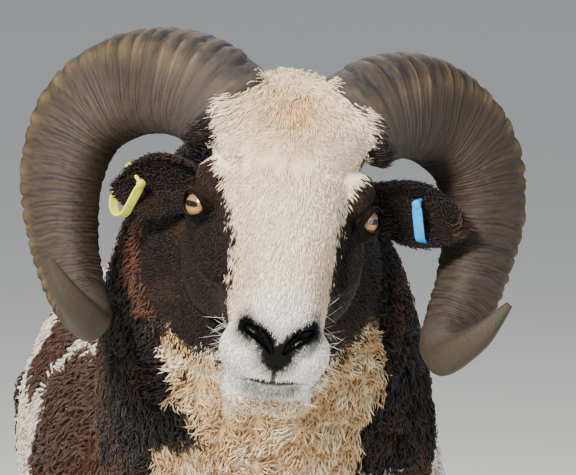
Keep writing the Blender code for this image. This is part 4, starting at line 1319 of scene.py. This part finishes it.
def add_whiskers(skin, hair):
    """A few long pale whiskers on each side of the lips and chin."""
    draw = np.random.default_rng(SEEDS["whiskers"])

    def on_lips(points):
        face = to_face(points)
        out, along, above = face.T
        lips = (along > 0.090) & (np.abs(out) > 0.024) & (above < 0.004) & (above > -0.085)
        return lips & (along < 0.17) & (np.abs(out) < 0.06) & (nose_distance(face) > 0.012)

    roots, normals = sample_skin(skin.data, ROOT_SPACING["whiskers"], SEEDS["whiskers"] + 1, on_lips)
    count = len(roots)
    side = np.sign(to_face(roots)[:, :1])
    outward = np.array(FACE @ Vector((1, 0, 0)))
    lie = tangent(side * outward + draw.normal(0, 0.5, roots.shape), normals)
    shapes = grow(roots, normals, lie, draw.uniform(*WHISKER_LENGTH, count), WHISKER_WIDTH,
                  np.radians(draw.uniform(*WHISKER_LIFT, count)), 0.15, 4, draw)
    colours = strand_colours(np.tile(PAINT["muzzle"], (count, 1)), 4, draw, 0.8, 1.0, 0.1)
    unwrap = round_unwrap(to_face(roots), (0, 0, -0.03), 1)
    add_coat("whiskers", shapes, 4, colours, unwrap, hair)


def on_poll(face):
    """The woolly white crown between the horns, down to the forehead."""
    out, along, above = face.T
    edge = -0.014 - 0.25 * np.abs(out) + 0.005 * wobble(face, 0.018, 27)
    return (along < edge) & (above > -0.035) & is_white_face(face, POLL_SPREAD)


def poll_hair(skin, hair):
    """Soft woolly hair of the crown, which lies in loose curls and laps over the horns' roots."""
    draw = np.random.default_rng(SEEDS["crown"])

    def on_crown(points):
        near = np.linalg.norm(points - np.array(EYES), axis=1) < WOOL_TO_EYES + 0.012
        return near & on_poll(to_face(points)) & (ear_gap(points) > 0.030)

    roots, normals = sample_skin(skin.data, ROOT_SPACING["crown"], SEEDS["crown"] + 1, on_crown)
    keep = outside_horns(roots)
    roots, normals = roots[keep], normals[keep]
    face = to_face(roots)
    out, along = face.T[:2]
    down = np.array(FACE @ Vector((0, -1, 0)))
    outward = np.array(FACE @ Vector((1, 0, 0)))
    crest = blend_step(-along, 0.085, 0.125)
    swirl = np.stack([wobble(face, 0.022, k) for k in (34, 35, 36)], 1)
    fan = np.clip(out / 0.026, -1.7, 1.7)
    lie = (down * (1.0 - 1.9 * crest)[:, None] + outward * fan[:, None]
           + 0.55 * swirl + draw.normal(0, 0.20, roots.shape))
    lie = tangent(lie, normals)
    thick = blend_step(-along, 0.012, 0.085)
    edge = blend_step(np.abs(out), 0.030, 0.060)
    count = len(roots)
    short, long, longer = CROWN_LENGTH
    length = (short + (long + longer * edge) * thick) * draw.uniform(0.75, 1.2, count)
    width = CROWN_WIDTH * draw.uniform(0.75, 1.25, count)
    lift = np.radians(CROWN_LIFT[0] + CROWN_LIFT[1] * thick) * draw.uniform(0.6, 1.35, count)
    shapes = grow(roots, normals, lie, length, width, lift, 1.05, 3, draw, crimp=0.07, curls=0.9)
    ragged = roots + draw.normal(0, 0.0012, roots.shape)
    colours = strand_colours(face_colour(ragged), 3, draw, 0.70, 1.06, 0.10)
    order = np.argsort(out)
    add_coat("coat_crown", shapes[order], 3, colours[order],
             round_unwrap(face, (0.0, 0.0, -0.03), 1)[order], hair)


def ear_hair(skin, hair):
    """Very short dark hair on both faces of the ears, towards their tips."""
    draw = np.random.default_rng(SEEDS["ears"])

    def on_ear(points):
        return (ear_gap(points) < 0.036) & (np.abs(to_face(points)[:, 0]) > EAR_HAIR_START)

    roots, normals = sample_skin(skin.data, ROOT_SPACING["ears"], SEEDS["ears"] + 1, on_ear)
    keep = outside_horns(roots) & (lid_gap(roots) > EYE_RADIUS + 0.004)
    roots, normals = roots[keep], normals[keep]
    head = (roots - np.array(EYES)) @ np.array(HEAD.to_3x3())
    outward = np.sign(head[:, :1]) * np.array(HEAD.to_3x3() @ Vector((1, 0.1, -0.1)))
    lie = tangent(outward + draw.normal(0, 0.25, roots.shape), normals)
    count = len(roots)
    length = draw.uniform(*EAR_HAIR_LENGTH, count)
    shapes = grow(roots, normals, lie, length, draw.uniform(*EAR_HAIR_WIDTH, count),
                  np.radians(draw.uniform(*EAR_HAIR_LIFT, count)), 0.4, 2, draw)
    brown = blend_step(wobble(roots, 0.02, 43), 0.2, 1.4) * 0.5
    base = mix(PAINT["ear"], PAINT["face brown"], brown)
    colours = strand_colours(base, 2, draw, 0.8, 1.15, 0.15)
    unwrap = round_unwrap(head, (0.0, 0.04, 0.0), 0)
    add_coat("coat_ears", shapes, 2, colours, unwrap, hair)


def leg_hair(skin, hair):
    """Short hair that lies down the legs to the hooves."""
    draw = np.random.default_rng(SEEDS["legs"])

    def on_leg(points):
        out, height = np.abs(points[:, 0]), points[:, 2]
        return (height < WOOL_FLOOR + 0.01) & (height > HOOF_TOP - 0.002) & (out > 0.05)

    roots, normals = sample_skin(skin.data, ROOT_SPACING["legs"], SEEDS["legs"] + 1, on_leg)
    count = len(roots)
    lie = tangent(np.array([0, 0.12, -1.0]) + draw.normal(0, 0.14, roots.shape), normals)
    length = draw.uniform(*LEG_HAIR_LENGTH, count)
    length *= np.clip((roots[:, 2] - HOOF_TOP + 0.004) / 0.012, 0.25, 1)
    shapes = grow(roots, normals, lie, length, draw.uniform(*LEG_HAIR_WIDTH, count),
                  np.radians(draw.uniform(*LEG_HAIR_LIFT, count)), 0.5, 2, draw)
    colours = strand_colours(body_colour(roots), 2, draw, 0.75, 1.08, 0.10)
    right, hind = roots[:, 0] < 0, roots[:, 1] > 0.05
    centre = np.stack([np.where(right, -0.1, 0.1), np.where(hind, 0.345, -0.252)], 1)
    turn = np.arctan2(roots[:, 0] - centre[:, 0], roots[:, 1] - centre[:, 1]) / (2 * math.pi) + 0.5
    high = roots[:, 2] / (WOOL_FLOOR + 0.02)
    unwrap = np.stack([0.5 * right + 0.02 + 0.46 * turn, 0.5 * hind + 0.02 + 0.46 * high], 1)
    order = np.argsort(roots[:, 1])
    add_coat("coat_legs", shapes[order], 2, colours[order], unwrap[order], hair)


def fleece(skin, wool, part, allowed, axis, centre):
    """Wool in staples: fine strands whose tips draw together into small rounded clumps."""
    spacing, seed = ROOT_SPACING[part], SEEDS[part]
    draw = np.random.default_rng(seed)
    roots, normals = sample_skin(skin.data, spacing, seed + 1, allowed)
    hubs, hub_normals = sample_skin(skin.data, STAPLE_SPACING, seed + 2, allowed)
    tree = KDTree(len(hubs))
    for k, hub in enumerate(hubs):
        tree.insert(hub, k)
    tree.balance()
    nearest = np.array([tree.find(root)[1] for root in roots])
    drift = np.stack([wobble(hubs, 0.10, seed + k) for k in (3, 4, 5)], 1)
    hub_lie = np.array([0, 0.45, -0.85]) + 0.5 * drift + draw.normal(0, 0.35, hubs.shape)
    hub_lie = tangent(hub_lie, hub_normals)
    lie = tangent(hub_lie[nearest] + draw.normal(0, 0.45, roots.shape), normals)
    count = len(roots)
    away = np.linalg.norm(roots - np.array(EYES), axis=1)
    depth = 0.50 + 0.50 * blend_step(away, WOOL_TO_EYES, WOOL_TO_EYES + 0.06)
    depth *= 0.50 + 0.50 * blend_step(roots[:, 2], WOOL_FLOOR, WOOL_FLOOR + 0.06)
    depth[roots[:, 1] > 0.47] *= 0.6
    hub_rise = draw.uniform(0.80, 1.12, len(hubs))
    off_hub = np.linalg.norm(roots - hubs[nearest], axis=1) / STAPLE_SPACING
    rounded = 1.0 - 0.42 * np.clip(off_hub / 0.65, 0, 1) ** 2
    length = WOOL_LENGTH * depth * hub_rise[nearest] * rounded * draw.uniform(0.88, 1.1, count)
    crowns = hubs + hub_normals * (WOOL_RISE * WOOL_LENGTH) + hub_lie * 0.004
    ends = roots + (normals * WOOL_RISE + lie * 0.35) * length[:, None]
    pull = (crowns[nearest] - ends) * (0.42 * depth)[:, None]
    pull -= normals * (pull * normals).sum(axis=1, keepdims=True) * 0.8
    width = spacing * STRAND_SHARE * draw.uniform(0.75, 1.25, count)
    shapes = grow(roots, normals, lie, length, width, np.radians(draw.uniform(*WOOL_LIFT, count)),
                  0.75, 3, draw, crimp=0.07, curls=1.2, pull=pull, flat=0.85)
    tones = draw.normal(1.0, 0.06, len(hubs))
    base = coat_colour(hubs[nearest] * 0.45 + roots * 0.55) * tones[nearest][:, None]
    # Strands away from a staple's middle are darkened as painted shade in the crevices between the
    # clumps.
    crevice_shade = (0.62 + 0.38 * rounded)[:, None, None]
    colours = strand_colours(base, 3, draw, 0.52, 1.12, 0.08) * crevice_shade
    order = np.argsort(roots[:, axis])
    unwrap = round_unwrap(roots, centre, axis)
    add_coat("coat_" + part, shapes[order], 3, colours[order], unwrap[order], wool)


def add_fleece(skin, wool):
    """The neck's wool is finer than the barrel's."""
    def on_neck(points):
        return is_woolly(points) & (points[:, 1] < NECK_END)

    def on_barrel(points):
        return is_woolly(points) & (points[:, 1] >= NECK_END)

    fleece(skin, wool, "neck", on_neck, 2, (-0.03, -0.42, 0.0))
    fleece(skin, wool, "barrel", on_barrel, 1, (0.0, 0.0, 0.51))


def horn_material():
    """Keratin grown in ridges: its colour stained, and its roughness and bump varied, in fine flakes."""
    material, tree, shader = new_material("keratin horn", {"IOR": 1.50, "Specular IOR Level": 0.35})
    colour = add_node(tree, "ShaderNodeAttribute", {"attribute_name": "coat"})
    place = add_node(tree, "ShaderNodeTexCoord")
    flakes = add_node(tree, "ShaderNodeTexNoise", {"Scale": 380.0, "Detail": 8.0, "Roughness": 0.75},
                      Vector=place.outputs["Object"])
    stain = add_node(tree, "ShaderNodeMapRange", {"To Min": 0.35, "To Max": 1.60},
                     Value=flakes.outputs["Fac"])
    tinted = add_node(tree, "ShaderNodeVectorMath", {"operation": "MULTIPLY"},
                      _0=colour.outputs["Color"], _1=stain.outputs["Result"])
    rough = add_node(tree, "ShaderNodeMapRange", {"To Min": 0.48, "To Max": 0.80},
                     Value=flakes.outputs["Fac"])
    tree.links.new(tinted.outputs["Vector"], shader.inputs["Base Color"])
    tree.links.new(rough.outputs["Result"], shader.inputs["Roughness"])
    link_bump(tree, shader, flakes.outputs["Fac"], 0.6, 0.0012)
    return material


def make_horn(name, material):
    """Sections carried along the horn's path without twisting, ridged across and keeled."""
    side = SIDES[name]
    rows = smooth_rows(HORN, HORN_RINGS + HORN_HIDDEN)[HORN_HIDDEN:]
    points = rows[:, :3] * (side, 1, 1)
    run = unit(np.gradient(points, axis=0))
    length = np.concatenate([[0], np.cumsum(np.linalg.norm(np.diff(points, axis=0), axis=1))])
    share = length / length[-1]
    outward = np.array([side * HORN_OUTWARD[0], *HORN_OUTWARD[1:]])
    angle = np.linspace(0, 2 * math.pi, HORN_SIDES, endpoint=False)
    rings, colours = [], []
    draw = np.random.default_rng(SEEDS["horn"])
    jitter = np.interp(length, np.linspace(0, length[-1], 60), draw.normal(0, RIDGE_JITTER, 60))
    strength = np.interp(length, np.linspace(0, length[-1], 130), draw.uniform(0.15, 1.0, 130))
    keel_turn = HORN_KEEL_ANGLE + HORN_KEEL_TWIST * (1 - blend_step(share, *KEEL_TURNS_BY))
    fades = 1 - blend_step(share, *RIDGES_FADE)
    tips = blend_step(share, *TIP_START) * 0.85
    bases = 0.55 * (1 - np.minimum(1, share / BASE_REACH))
    for i in range(HORN_RINGS):
        keel = np.maximum(0, np.cos(angle - keel_turn[i])) ** 6
        keel_line = np.maximum(0, np.cos(angle - keel_turn[i])) ** 60
        front = blend_step(np.cos(angle - keel_turn[i] - math.radians(80)), -0.05, 0.40)
        upper = 1 - front
        outward = unit(outward - run[i] * (outward @ run[i]))
        forward = np.cross(run[i], outward) * side
        ring = oval((0, 0, 0), outward * rows[i, 3] / 2, forward * rows[i, 4] / 2, HORN_SIDES,
                    HORN_SQUARENESS)
        radius = np.linalg.norm(ring, axis=1)
        fade = fades[i]
        knobs = (0.85 + 0.75 * wobble(points[i] + ring, KNOB_SIZE, 92)).clip(0.15, 1.6)
        mottle = wobble(points[i] + ring, MOTTLE_SIZE, 93)
        place = length[i] + jitter[i] + RIDGE_SLANT * np.sin(3 * angle + 5 * share[i])
        crest = np.abs(np.sin(math.pi * place / RIDGE_SPACING)) ** 0.7
        line = np.abs(np.sin(math.pi * (place + 0.0008 * np.sin(5 * angle)) / GROWTH_LINE)) ** 0.8
        ridge = (crest - 0.7) * RIDGE_HEIGHT * (0.07 + 0.93 * upper) * fade * knobs
        ridge += (line - 0.5) * GROWTH_LINE_HEIGHT * (0.35 + 0.65 * fade) * strength[i]
        grown = (radius * (1 + HORN_KEEL * keel) - HORN_INSET + ridge) / radius
        rings.append(points[i] + ring * grown[:, None])
        # Painted shade darkens the grooves between the ridges, most on the upper face; the fine growth
        # lines and random mottle are darker too.
        light = 0.86 - (0.15 + 0.80 * upper) * (1 - crest) * knobs - 1.10 * strength[i] * (1 - line)
        light += 0.30 * mottle
        tone = mix(PAINT["horn dark"], PAINT["horn body"], light.clip(0, 1))
        worn = (0.45 * upper + 0.12) * crest ** 10 * strength[i] * knobs
        worn = (worn + 0.60 * keel_line * strength[i]) * fade
        tone = mix(tone, PAINT["horn worn"], worn.clip(0, 1))
        tone = mix(tone, PAINT["horn base"], np.full(HORN_SIDES, bases[i]))
        tone = mix(tone, PAINT["horn tip"], np.full(HORN_SIDES, tips[i]))
        colours.append(tone)
    horn = head_loft("horn_" + name + "_grown", rings)
    colours = np.vstack([np.array(colours).reshape(-1, 3), colours[0].mean(0), colours[-1].mean(0)])
    store(horn.data, "coat", "FLOAT_COLOR", colours)
    horn.data.materials.append(material)
    horn.data.shade_smooth()
    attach(horn, "root")
    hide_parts("horn_" + name)


def eye_material():
    """A wet eyeball: amber iris with fine spokes, a painted shadow and painted reflection over its top, a
    dark slot of a pupil and a clear coat.
    """
    material, tree, shader = new_material("moist eye", {
        "Roughness": 0.18, "Coat Weight": 1.0, "Coat Roughness": 0.03, "IOR": 1.38})
    gaze = add_node(tree, "ShaderNodeAttribute", {"attribute_name": "gaze"})
    parts = add_node(tree, "ShaderNodeSeparateXYZ", Vector=gaze.outputs["Vector"])
    wide = add_node(tree, "ShaderNodeMath", {"operation": "MULTIPLY", 1: 0.80}, _0=parts.outputs["X"])
    tall = add_node(tree, "ShaderNodeMath", {"operation": "MULTIPLY", 1: 2.5}, _0=parts.outputs["Y"])
    wide4 = add_node(tree, "ShaderNodeMath", {"operation": "POWER", 1: 4.0},
                     _0=add_node(tree, "ShaderNodeMath", {"operation": "ABSOLUTE"},
                                 _0=wide.outputs[0]).outputs[0])
    tall4 = add_node(tree, "ShaderNodeMath", {"operation": "POWER", 1: 4.0},
                     _0=add_node(tree, "ShaderNodeMath", {"operation": "ABSOLUTE"},
                                 _0=tall.outputs[0]).outputs[0])
    slot4 = add_node(tree, "ShaderNodeMath", {"operation": "ADD"},
                     _0=wide4.outputs[0], _1=tall4.outputs[0])
    slot = add_node(tree, "ShaderNodeMath", {"operation": "POWER", 1: 0.25}, _0=slot4.outputs[0])
    pupil = add_node(tree, "ShaderNodeMapRange", {"From Min": 0.44, "From Max": 0.49},
                     Value=slot.outputs[0])
    flat = add_node(tree, "ShaderNodeCombineXYZ", _0=parts.outputs["X"], _1=parts.outputs["Y"])
    ring = add_node(tree, "ShaderNodeVectorMath", {"operation": "LENGTH"}, _0=flat.outputs[0])
    spokes = add_node(tree, "ShaderNodeTexNoise", {"Scale": 9.0, "Detail": 5.0},
                      Vector=flat.outputs[0])
    amber = add_node(tree, "ShaderNodeValToRGB", _0=spokes.outputs["Fac"])
    amber.color_ramp.elements[0].color = opaque("iris dark")
    amber.color_ramp.elements[0].position = 0.30
    amber.color_ramp.elements[1].color = opaque("iris amber")
    amber.color_ramp.elements[1].position = 0.62
    # The top of the iris is mixed towards a dull grey-brown: a painted shadow of the upper lid with a
    # painted reflection.
    lid_shadow = add_node(tree, "ShaderNodeMapRange", {"From Min": 0.12, "From Max": 0.55, "To Max": 0.75},
                      Value=parts.outputs["Y"])
    shaded = add_node(tree, "ShaderNodeMix", {"data_type": "RGBA"}, Factor=lid_shadow.outputs["Result"])
    tree.links.new(amber.outputs["Color"], shaded.inputs[6])
    shaded.inputs[7].default_value = opaque("iris shaded")
    rim = add_node(tree, "ShaderNodeMapRange", {"From Min": 0.62, "From Max": 0.95},
                   Value=ring.outputs["Value"])
    iris = add_node(tree, "ShaderNodeMix", {"data_type": "RGBA"}, Factor=rim.outputs["Result"])
    tree.links.new(shaded.outputs[2], iris.inputs[6])
    iris.inputs[7].default_value = opaque("iris rim")
    whole = add_node(tree, "ShaderNodeMix", {"data_type": "RGBA"}, Factor=pupil.outputs["Result"])
    whole.inputs[6].default_value = opaque("pupil")
    tree.links.new(iris.outputs[2], whole.inputs[7])
    tree.links.new(whole.outputs[2], shader.inputs["Base Color"])
    return material


def make_eye(name, material, lid):
    """The eyeball with its gaze written on it, and the rolled edge of the lids round it."""
    side = SIDES[name]
    axis, across, up = eye_axes(side)
    centre = eye_centre(side)
    eye = ball("eye_" + name + "_ball", centre, [EYE_RADIUS] * 3, None, 96)
    offsets = (mesh_points(eye.data) - np.array(centre)) / EYE_RADIUS
    level = HEAD.to_3x3() @ Vector((0, 0, 1))
    flat_across = axis.cross(level).normalized()
    flat_up = flat_across.cross(axis)
    gaze = np.stack([offsets @ np.array(v) for v in (flat_across, flat_up, axis)], 1)
    store(eye.data, "gaze", "FLOAT_VECTOR", gaze)
    eye.data.materials.append(material)
    eye.data.shade_smooth()
    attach(eye, "root")
    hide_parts("eye_" + name)
    reach = EYE_RADIUS + LID_THICKNESS * 0.55
    flat = oval((0, 0, 0), (LID_OPENING[0], 0, 0), (0, LID_OPENING[1], 0), 72, LID_SQUARENESS)
    path = []
    for u, v in flat[:, :2]:
        depth = math.sqrt(max(reach ** 2 - u * u - v * v, 1e-9))
        path.append(np.array(centre) + np.array(across) * u + np.array(up) * v
                    + np.array(axis) * depth)
    path = np.array(path)
    run = unit(np.roll(path, -1, axis=0) - np.roll(path, 1, axis=0))
    outward = unit(path - np.array(centre))
    beside = np.cross(run, outward)
    sides = 10
    angles = np.linspace(0, 2 * math.pi, sides, endpoint=False)
    rings = np.stack([path + (outward * math.cos(a) + beside * math.sin(a)) * LID_RIM for a in angles], 1)
    count = len(path)
    faces = []
    for i in range(count):
        for j in range(sides):
            k, m = (j + 1) % sides, (i + 1) % count
            faces.append((i * sides + j, i * sides + k, m * sides + k, m * sides + j))
    rim = add_mesh("lid_rim_" + name, rings.reshape(-1, 3), faces)
    turn_outwards(rim)
    rim.data.materials.append(lid)
    rim.data.shade_smooth()
    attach(rim, "root")


def plain_material(name, colour, roughness, bump_scale, bump):
    """A moulded or grown surface with fine mottling and a shallow grain."""
    material, tree, shader = new_material(name, {"Roughness": roughness})
    place = add_node(tree, "ShaderNodeTexCoord")
    grain = add_node(tree, "ShaderNodeTexNoise", {"Scale": bump_scale, "Detail": 5.0},
                     Vector=place.outputs["Object"])
    ramp = add_node(tree, "ShaderNodeValToRGB", _0=grain.outputs["Fac"])
    base = PAINT[colour]
    ramp.color_ramp.elements[0].color = (*[q * 0.72 for q in base], 1)
    ramp.color_ramp.elements[0].position = 0.25
    ramp.color_ramp.elements[1].color = (*[min(1, q * 1.2) for q in base], 1)
    ramp.color_ramp.elements[1].position = 0.75
    tree.links.new(ramp.outputs["Color"], shader.inputs["Base Color"])
    link_bump(tree, shader, grain.outputs["Fac"], bump, 0.0008)
    return material


def leaf_size(share):
    """Width and curl of the leaf at a share of its length."""
    return next(row[1:] for row in smooth_rows(EAR_LEAF, 60) if row[0] >= share)


def make_tag(name, material):
    """A moulded strip bent into a loop round the lower edge of the ear, closed by its pin."""
    along, across, opens = ear_frame(name)[1:]
    share, angle = TAG_PIN[name]
    pin = ear_place(name, share, *leaf_size(share), angle, EAR_THICKNESS / 2)
    down = along * math.sin(TAG_LEAN[name]) - across * math.cos(TAG_LEAN[name])
    facing = opens * math.cos(TAG_SWING[name]) - along * math.sin(TAG_SWING[name])
    facing = (facing - down * facing.dot(down)).normalized()
    wide, half = down.cross(facing), TAG_HALF_GAP
    path = [pin + down * q + facing * half for q in np.linspace(0, TAG_DROP - half, 10)]
    path += [pin + down * (TAG_DROP - half + half * math.sin(a)) + facing * half * math.cos(a)
             for a in np.linspace(0, math.pi, 26)[1:-1]]
    path += [pin + down * q - facing * half for q in np.linspace(TAG_DROP - half, 0, 10)]
    path = np.array(path)
    run = unit(np.gradient(path, axis=0))
    out = np.cross(run, np.array(wide))
    rings = []
    for k, (point, normal) in enumerate(zip(path, out)):
        end = min(k, len(path) - 1 - k)
        spread = 0.5 * TAG_WIDTH * min(1.0, 0.75 + 0.125 * end)
        rings.append(oval(point, np.array(wide) * spread, normal * TAG_THICKNESS / 2, 24, 5))
    tag = head_loft("tag_" + name + "_strip", rings)
    studs = []
    for reach in (-half, half):
        outer = math.copysign(TAG_THICKNESS * 0.85, reach)
        rows = [(reach - outer, 1.0), (reach + outer * 0.75, 1.0), (reach + outer * 1.05, 0.8)]
        rings = [oval(pin + facing * q, wide * TAG_PIN_RADIUS * r, down * TAG_PIN_RADIUS * r, 28)
                 for q, r in rows]
        studs.append(head_loft("stud", rings))
    rings = [oval(pin + facing * q, wide * SHAFT_RADIUS, down * SHAFT_RADIUS, 16)
             for q in (-half, half)]
    studs.append(head_loft("pin", rings))
    combine(tag, "UNION", studs)
    tag.data.materials.clear()
    tag.data.materials.append(material)
    tag.data.shade_smooth()
    tag.data.set_sharp_from_angle(angle=math.radians(40))
    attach(tag, "root")
    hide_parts("tag_" + name)


def make_foot(place, name, hoof):
    """Both claws and both dewclaws of one foot."""
    side = SIDES[name]
    foot = LIMBS[place][-2]
    x, y = side * foot[0], foot[1]
    for part, inward in (("inner", -side), ("outer", side)):
        rows = smooth_rows(CLAW, CLAW_RINGS)
        middle = x + inward * CLAW_SPLIT
        rings = []
        for k, (z, half_width, half_length, back) in enumerate(rows):
            lines = 1 - HOOF_LINE_DEPTH * abs(math.sin(math.pi * z / HOOF_LINE))
            shape = oval((middle - inward * CLAW_LEAN * 3 * k / (CLAW_RINGS - 1), y + back, z),
                         (half_width * lines, 0, 0), (0, half_length * lines, 0), 48, 2.5)
            rings.append(shape)
        claw = loft(f"claw_{place}_{name}_{part}_horn", rings)
        centre = Vector((x + inward * DEWCLAW[0], y + DEWCLAW[1], DEWCLAW[2]))
        dewclaw = ball(f"dewclaw_{place}_{name}_{part}_horn", centre, DEWCLAW_RADII, None, 24)
        for piece, node in ((claw, "claw"), (dewclaw, "dewclaw")):
            piece.data.materials.append(hoof)
            piece.data.shade_smooth()
            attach(piece, "root")
            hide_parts(f"{node}_{place}_{name}_{part}")


def make_stage():
    """A wide pale floor."""
    material = new_material("pale floor", {"Base Color": opaque("floor"), "Roughness": 0.9})[0]
    corners = [(x, y, 0.0) for x, y in ((-1, -1), (1, -1), (1, 1), (-1, 1))]
    floor = add_mesh("floor", np.array(corners) * FLOOR_REACH, [(0, 1, 2, 3)])
    floor.data.materials.append(material)
    floor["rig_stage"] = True


def add_light(name, place, target, size, power, colour):
    light = bpy.data.lights.new(name, "AREA")
    light.shape = "DISK"
    light.size = size
    light.energy = power
    light.color = colour
    obj = bpy.data.objects.new(name, light)
    bpy.context.scene.collection.objects.link(obj)
    obj.location = place
    obj.rotation_euler = (Vector(target) - Vector(place)).to_track_quat("-Z", "Y").to_euler()


def add_camera(eyes):
    back = Vector((math.sin(CAMERA_AZIMUTH) * math.cos(CAMERA_ELEVATION),
                   -math.cos(CAMERA_AZIMUTH) * math.cos(CAMERA_ELEVATION), math.sin(CAMERA_ELEVATION)))
    data = bpy.data.cameras.new("camera")
    data.sensor_width = SENSOR_WIDTH
    data.sensor_fit = "HORIZONTAL"
    data.lens = CAMERA_LENS
    data.shift_x = (FRAME_WIDTH / 2 - EYES_IN_FRAME[0]) / FRAME_WIDTH
    data.shift_y = (EYES_IN_FRAME[1] - FRAME_HEIGHT / 2) / FRAME_WIDTH
    camera = bpy.data.objects.new("camera", data)
    bpy.context.scene.collection.objects.link(camera)
    camera.location = eyes + back * CAMERA_DISTANCE
    camera.rotation_euler = (-back).to_track_quat("-Z", "Y").to_euler()
    bpy.context.scene.camera = camera


def add_lighting():
    """Pale even daylight with a warm key light, a cool fill and a light from above."""
    world = bpy.data.worlds.new("studio")
    world.use_nodes = True
    background = world.node_tree.nodes["Background"]
    background.inputs["Color"].default_value = opaque("daylight")
    background.inputs["Strength"].default_value = SKY_STRENGTH
    bpy.context.scene.world = world
    for settings in LIGHTS:
        add_light(*settings)


def dress_skin(skin):
    """Colours the skin, smooths it and puts it in place of the flesh."""
    points = mesh_points(skin.data)
    colours, moist = bare_skin_colour(points)
    store(skin.data, "coat", "FLOAT_COLOR", colours)
    store(skin.data, "moist", "FLOAT", moist)
    skin.data.materials.clear()
    skin.data.materials.append(skin_material())
    skin.data.shade_smooth()
    skin.data.set_sharp_from_angle(angle=math.radians(55))
    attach(skin, "root")
    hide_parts("head", "neck", "torso", "tail", "foreleg_left", "foreleg_right",
                "hindleg_left", "hindleg_right", "ear_left", "ear_right")


def find_shift():
    """The move into the solids' frame, from where the eyes lie in both."""
    boxes = [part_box("eye_" + name) for name in SIDES]
    middle = sum((low + high for low, high in boxes), Vector()) / 4
    return middle - HEAD @ Vector((0, EYE_FORWARD, 0))


def move_all(shift):
    """Moves every piece of the ram into the solids' frame."""
    for obj in bpy.context.scene.objects:
        if obj.type == "MESH" and "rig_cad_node" not in obj and not obj.get("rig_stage"):
            obj.data.transform(Matrix.Translation(shift))


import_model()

skin = make_skin()
hair = fibre_material("short hair", 0.55, 0.0)
wool = fibre_material("fleece wool", 0.90, 0.06)
face_hair(skin, hair)
poll_hair(skin, hair)
add_whiskers(skin, hair)
ear_hair(skin, hair)
leg_hair(skin, hair)
add_fleece(skin, wool)
dress_skin(skin)

keratin = horn_material()
moist_eye = eye_material()
lid = plain_material("lid edge", "lid", 0.5, 300.0, 0.2)
hoof = plain_material("hoof horn", "hoof", 0.55, 160.0, 0.4)
tag_plastic = {
    "right": plain_material("yellow moulded polyurethane", "yellow plastic", 0.42, 90.0, 0.1),
    "left": plain_material("blue moulded polyurethane", "blue plastic", 0.40, 90.0, 0.1),
}
for name in SIDES:
    make_horn(name, keratin)
    make_eye(name, moist_eye, lid)
    make_tag(name, tag_plastic[name])
    for place in LIMBS:
        make_foot(place, name, hoof)

shift = find_shift()
move_all(shift)
make_stage()
add_camera(EYES + shift)
add_lighting()
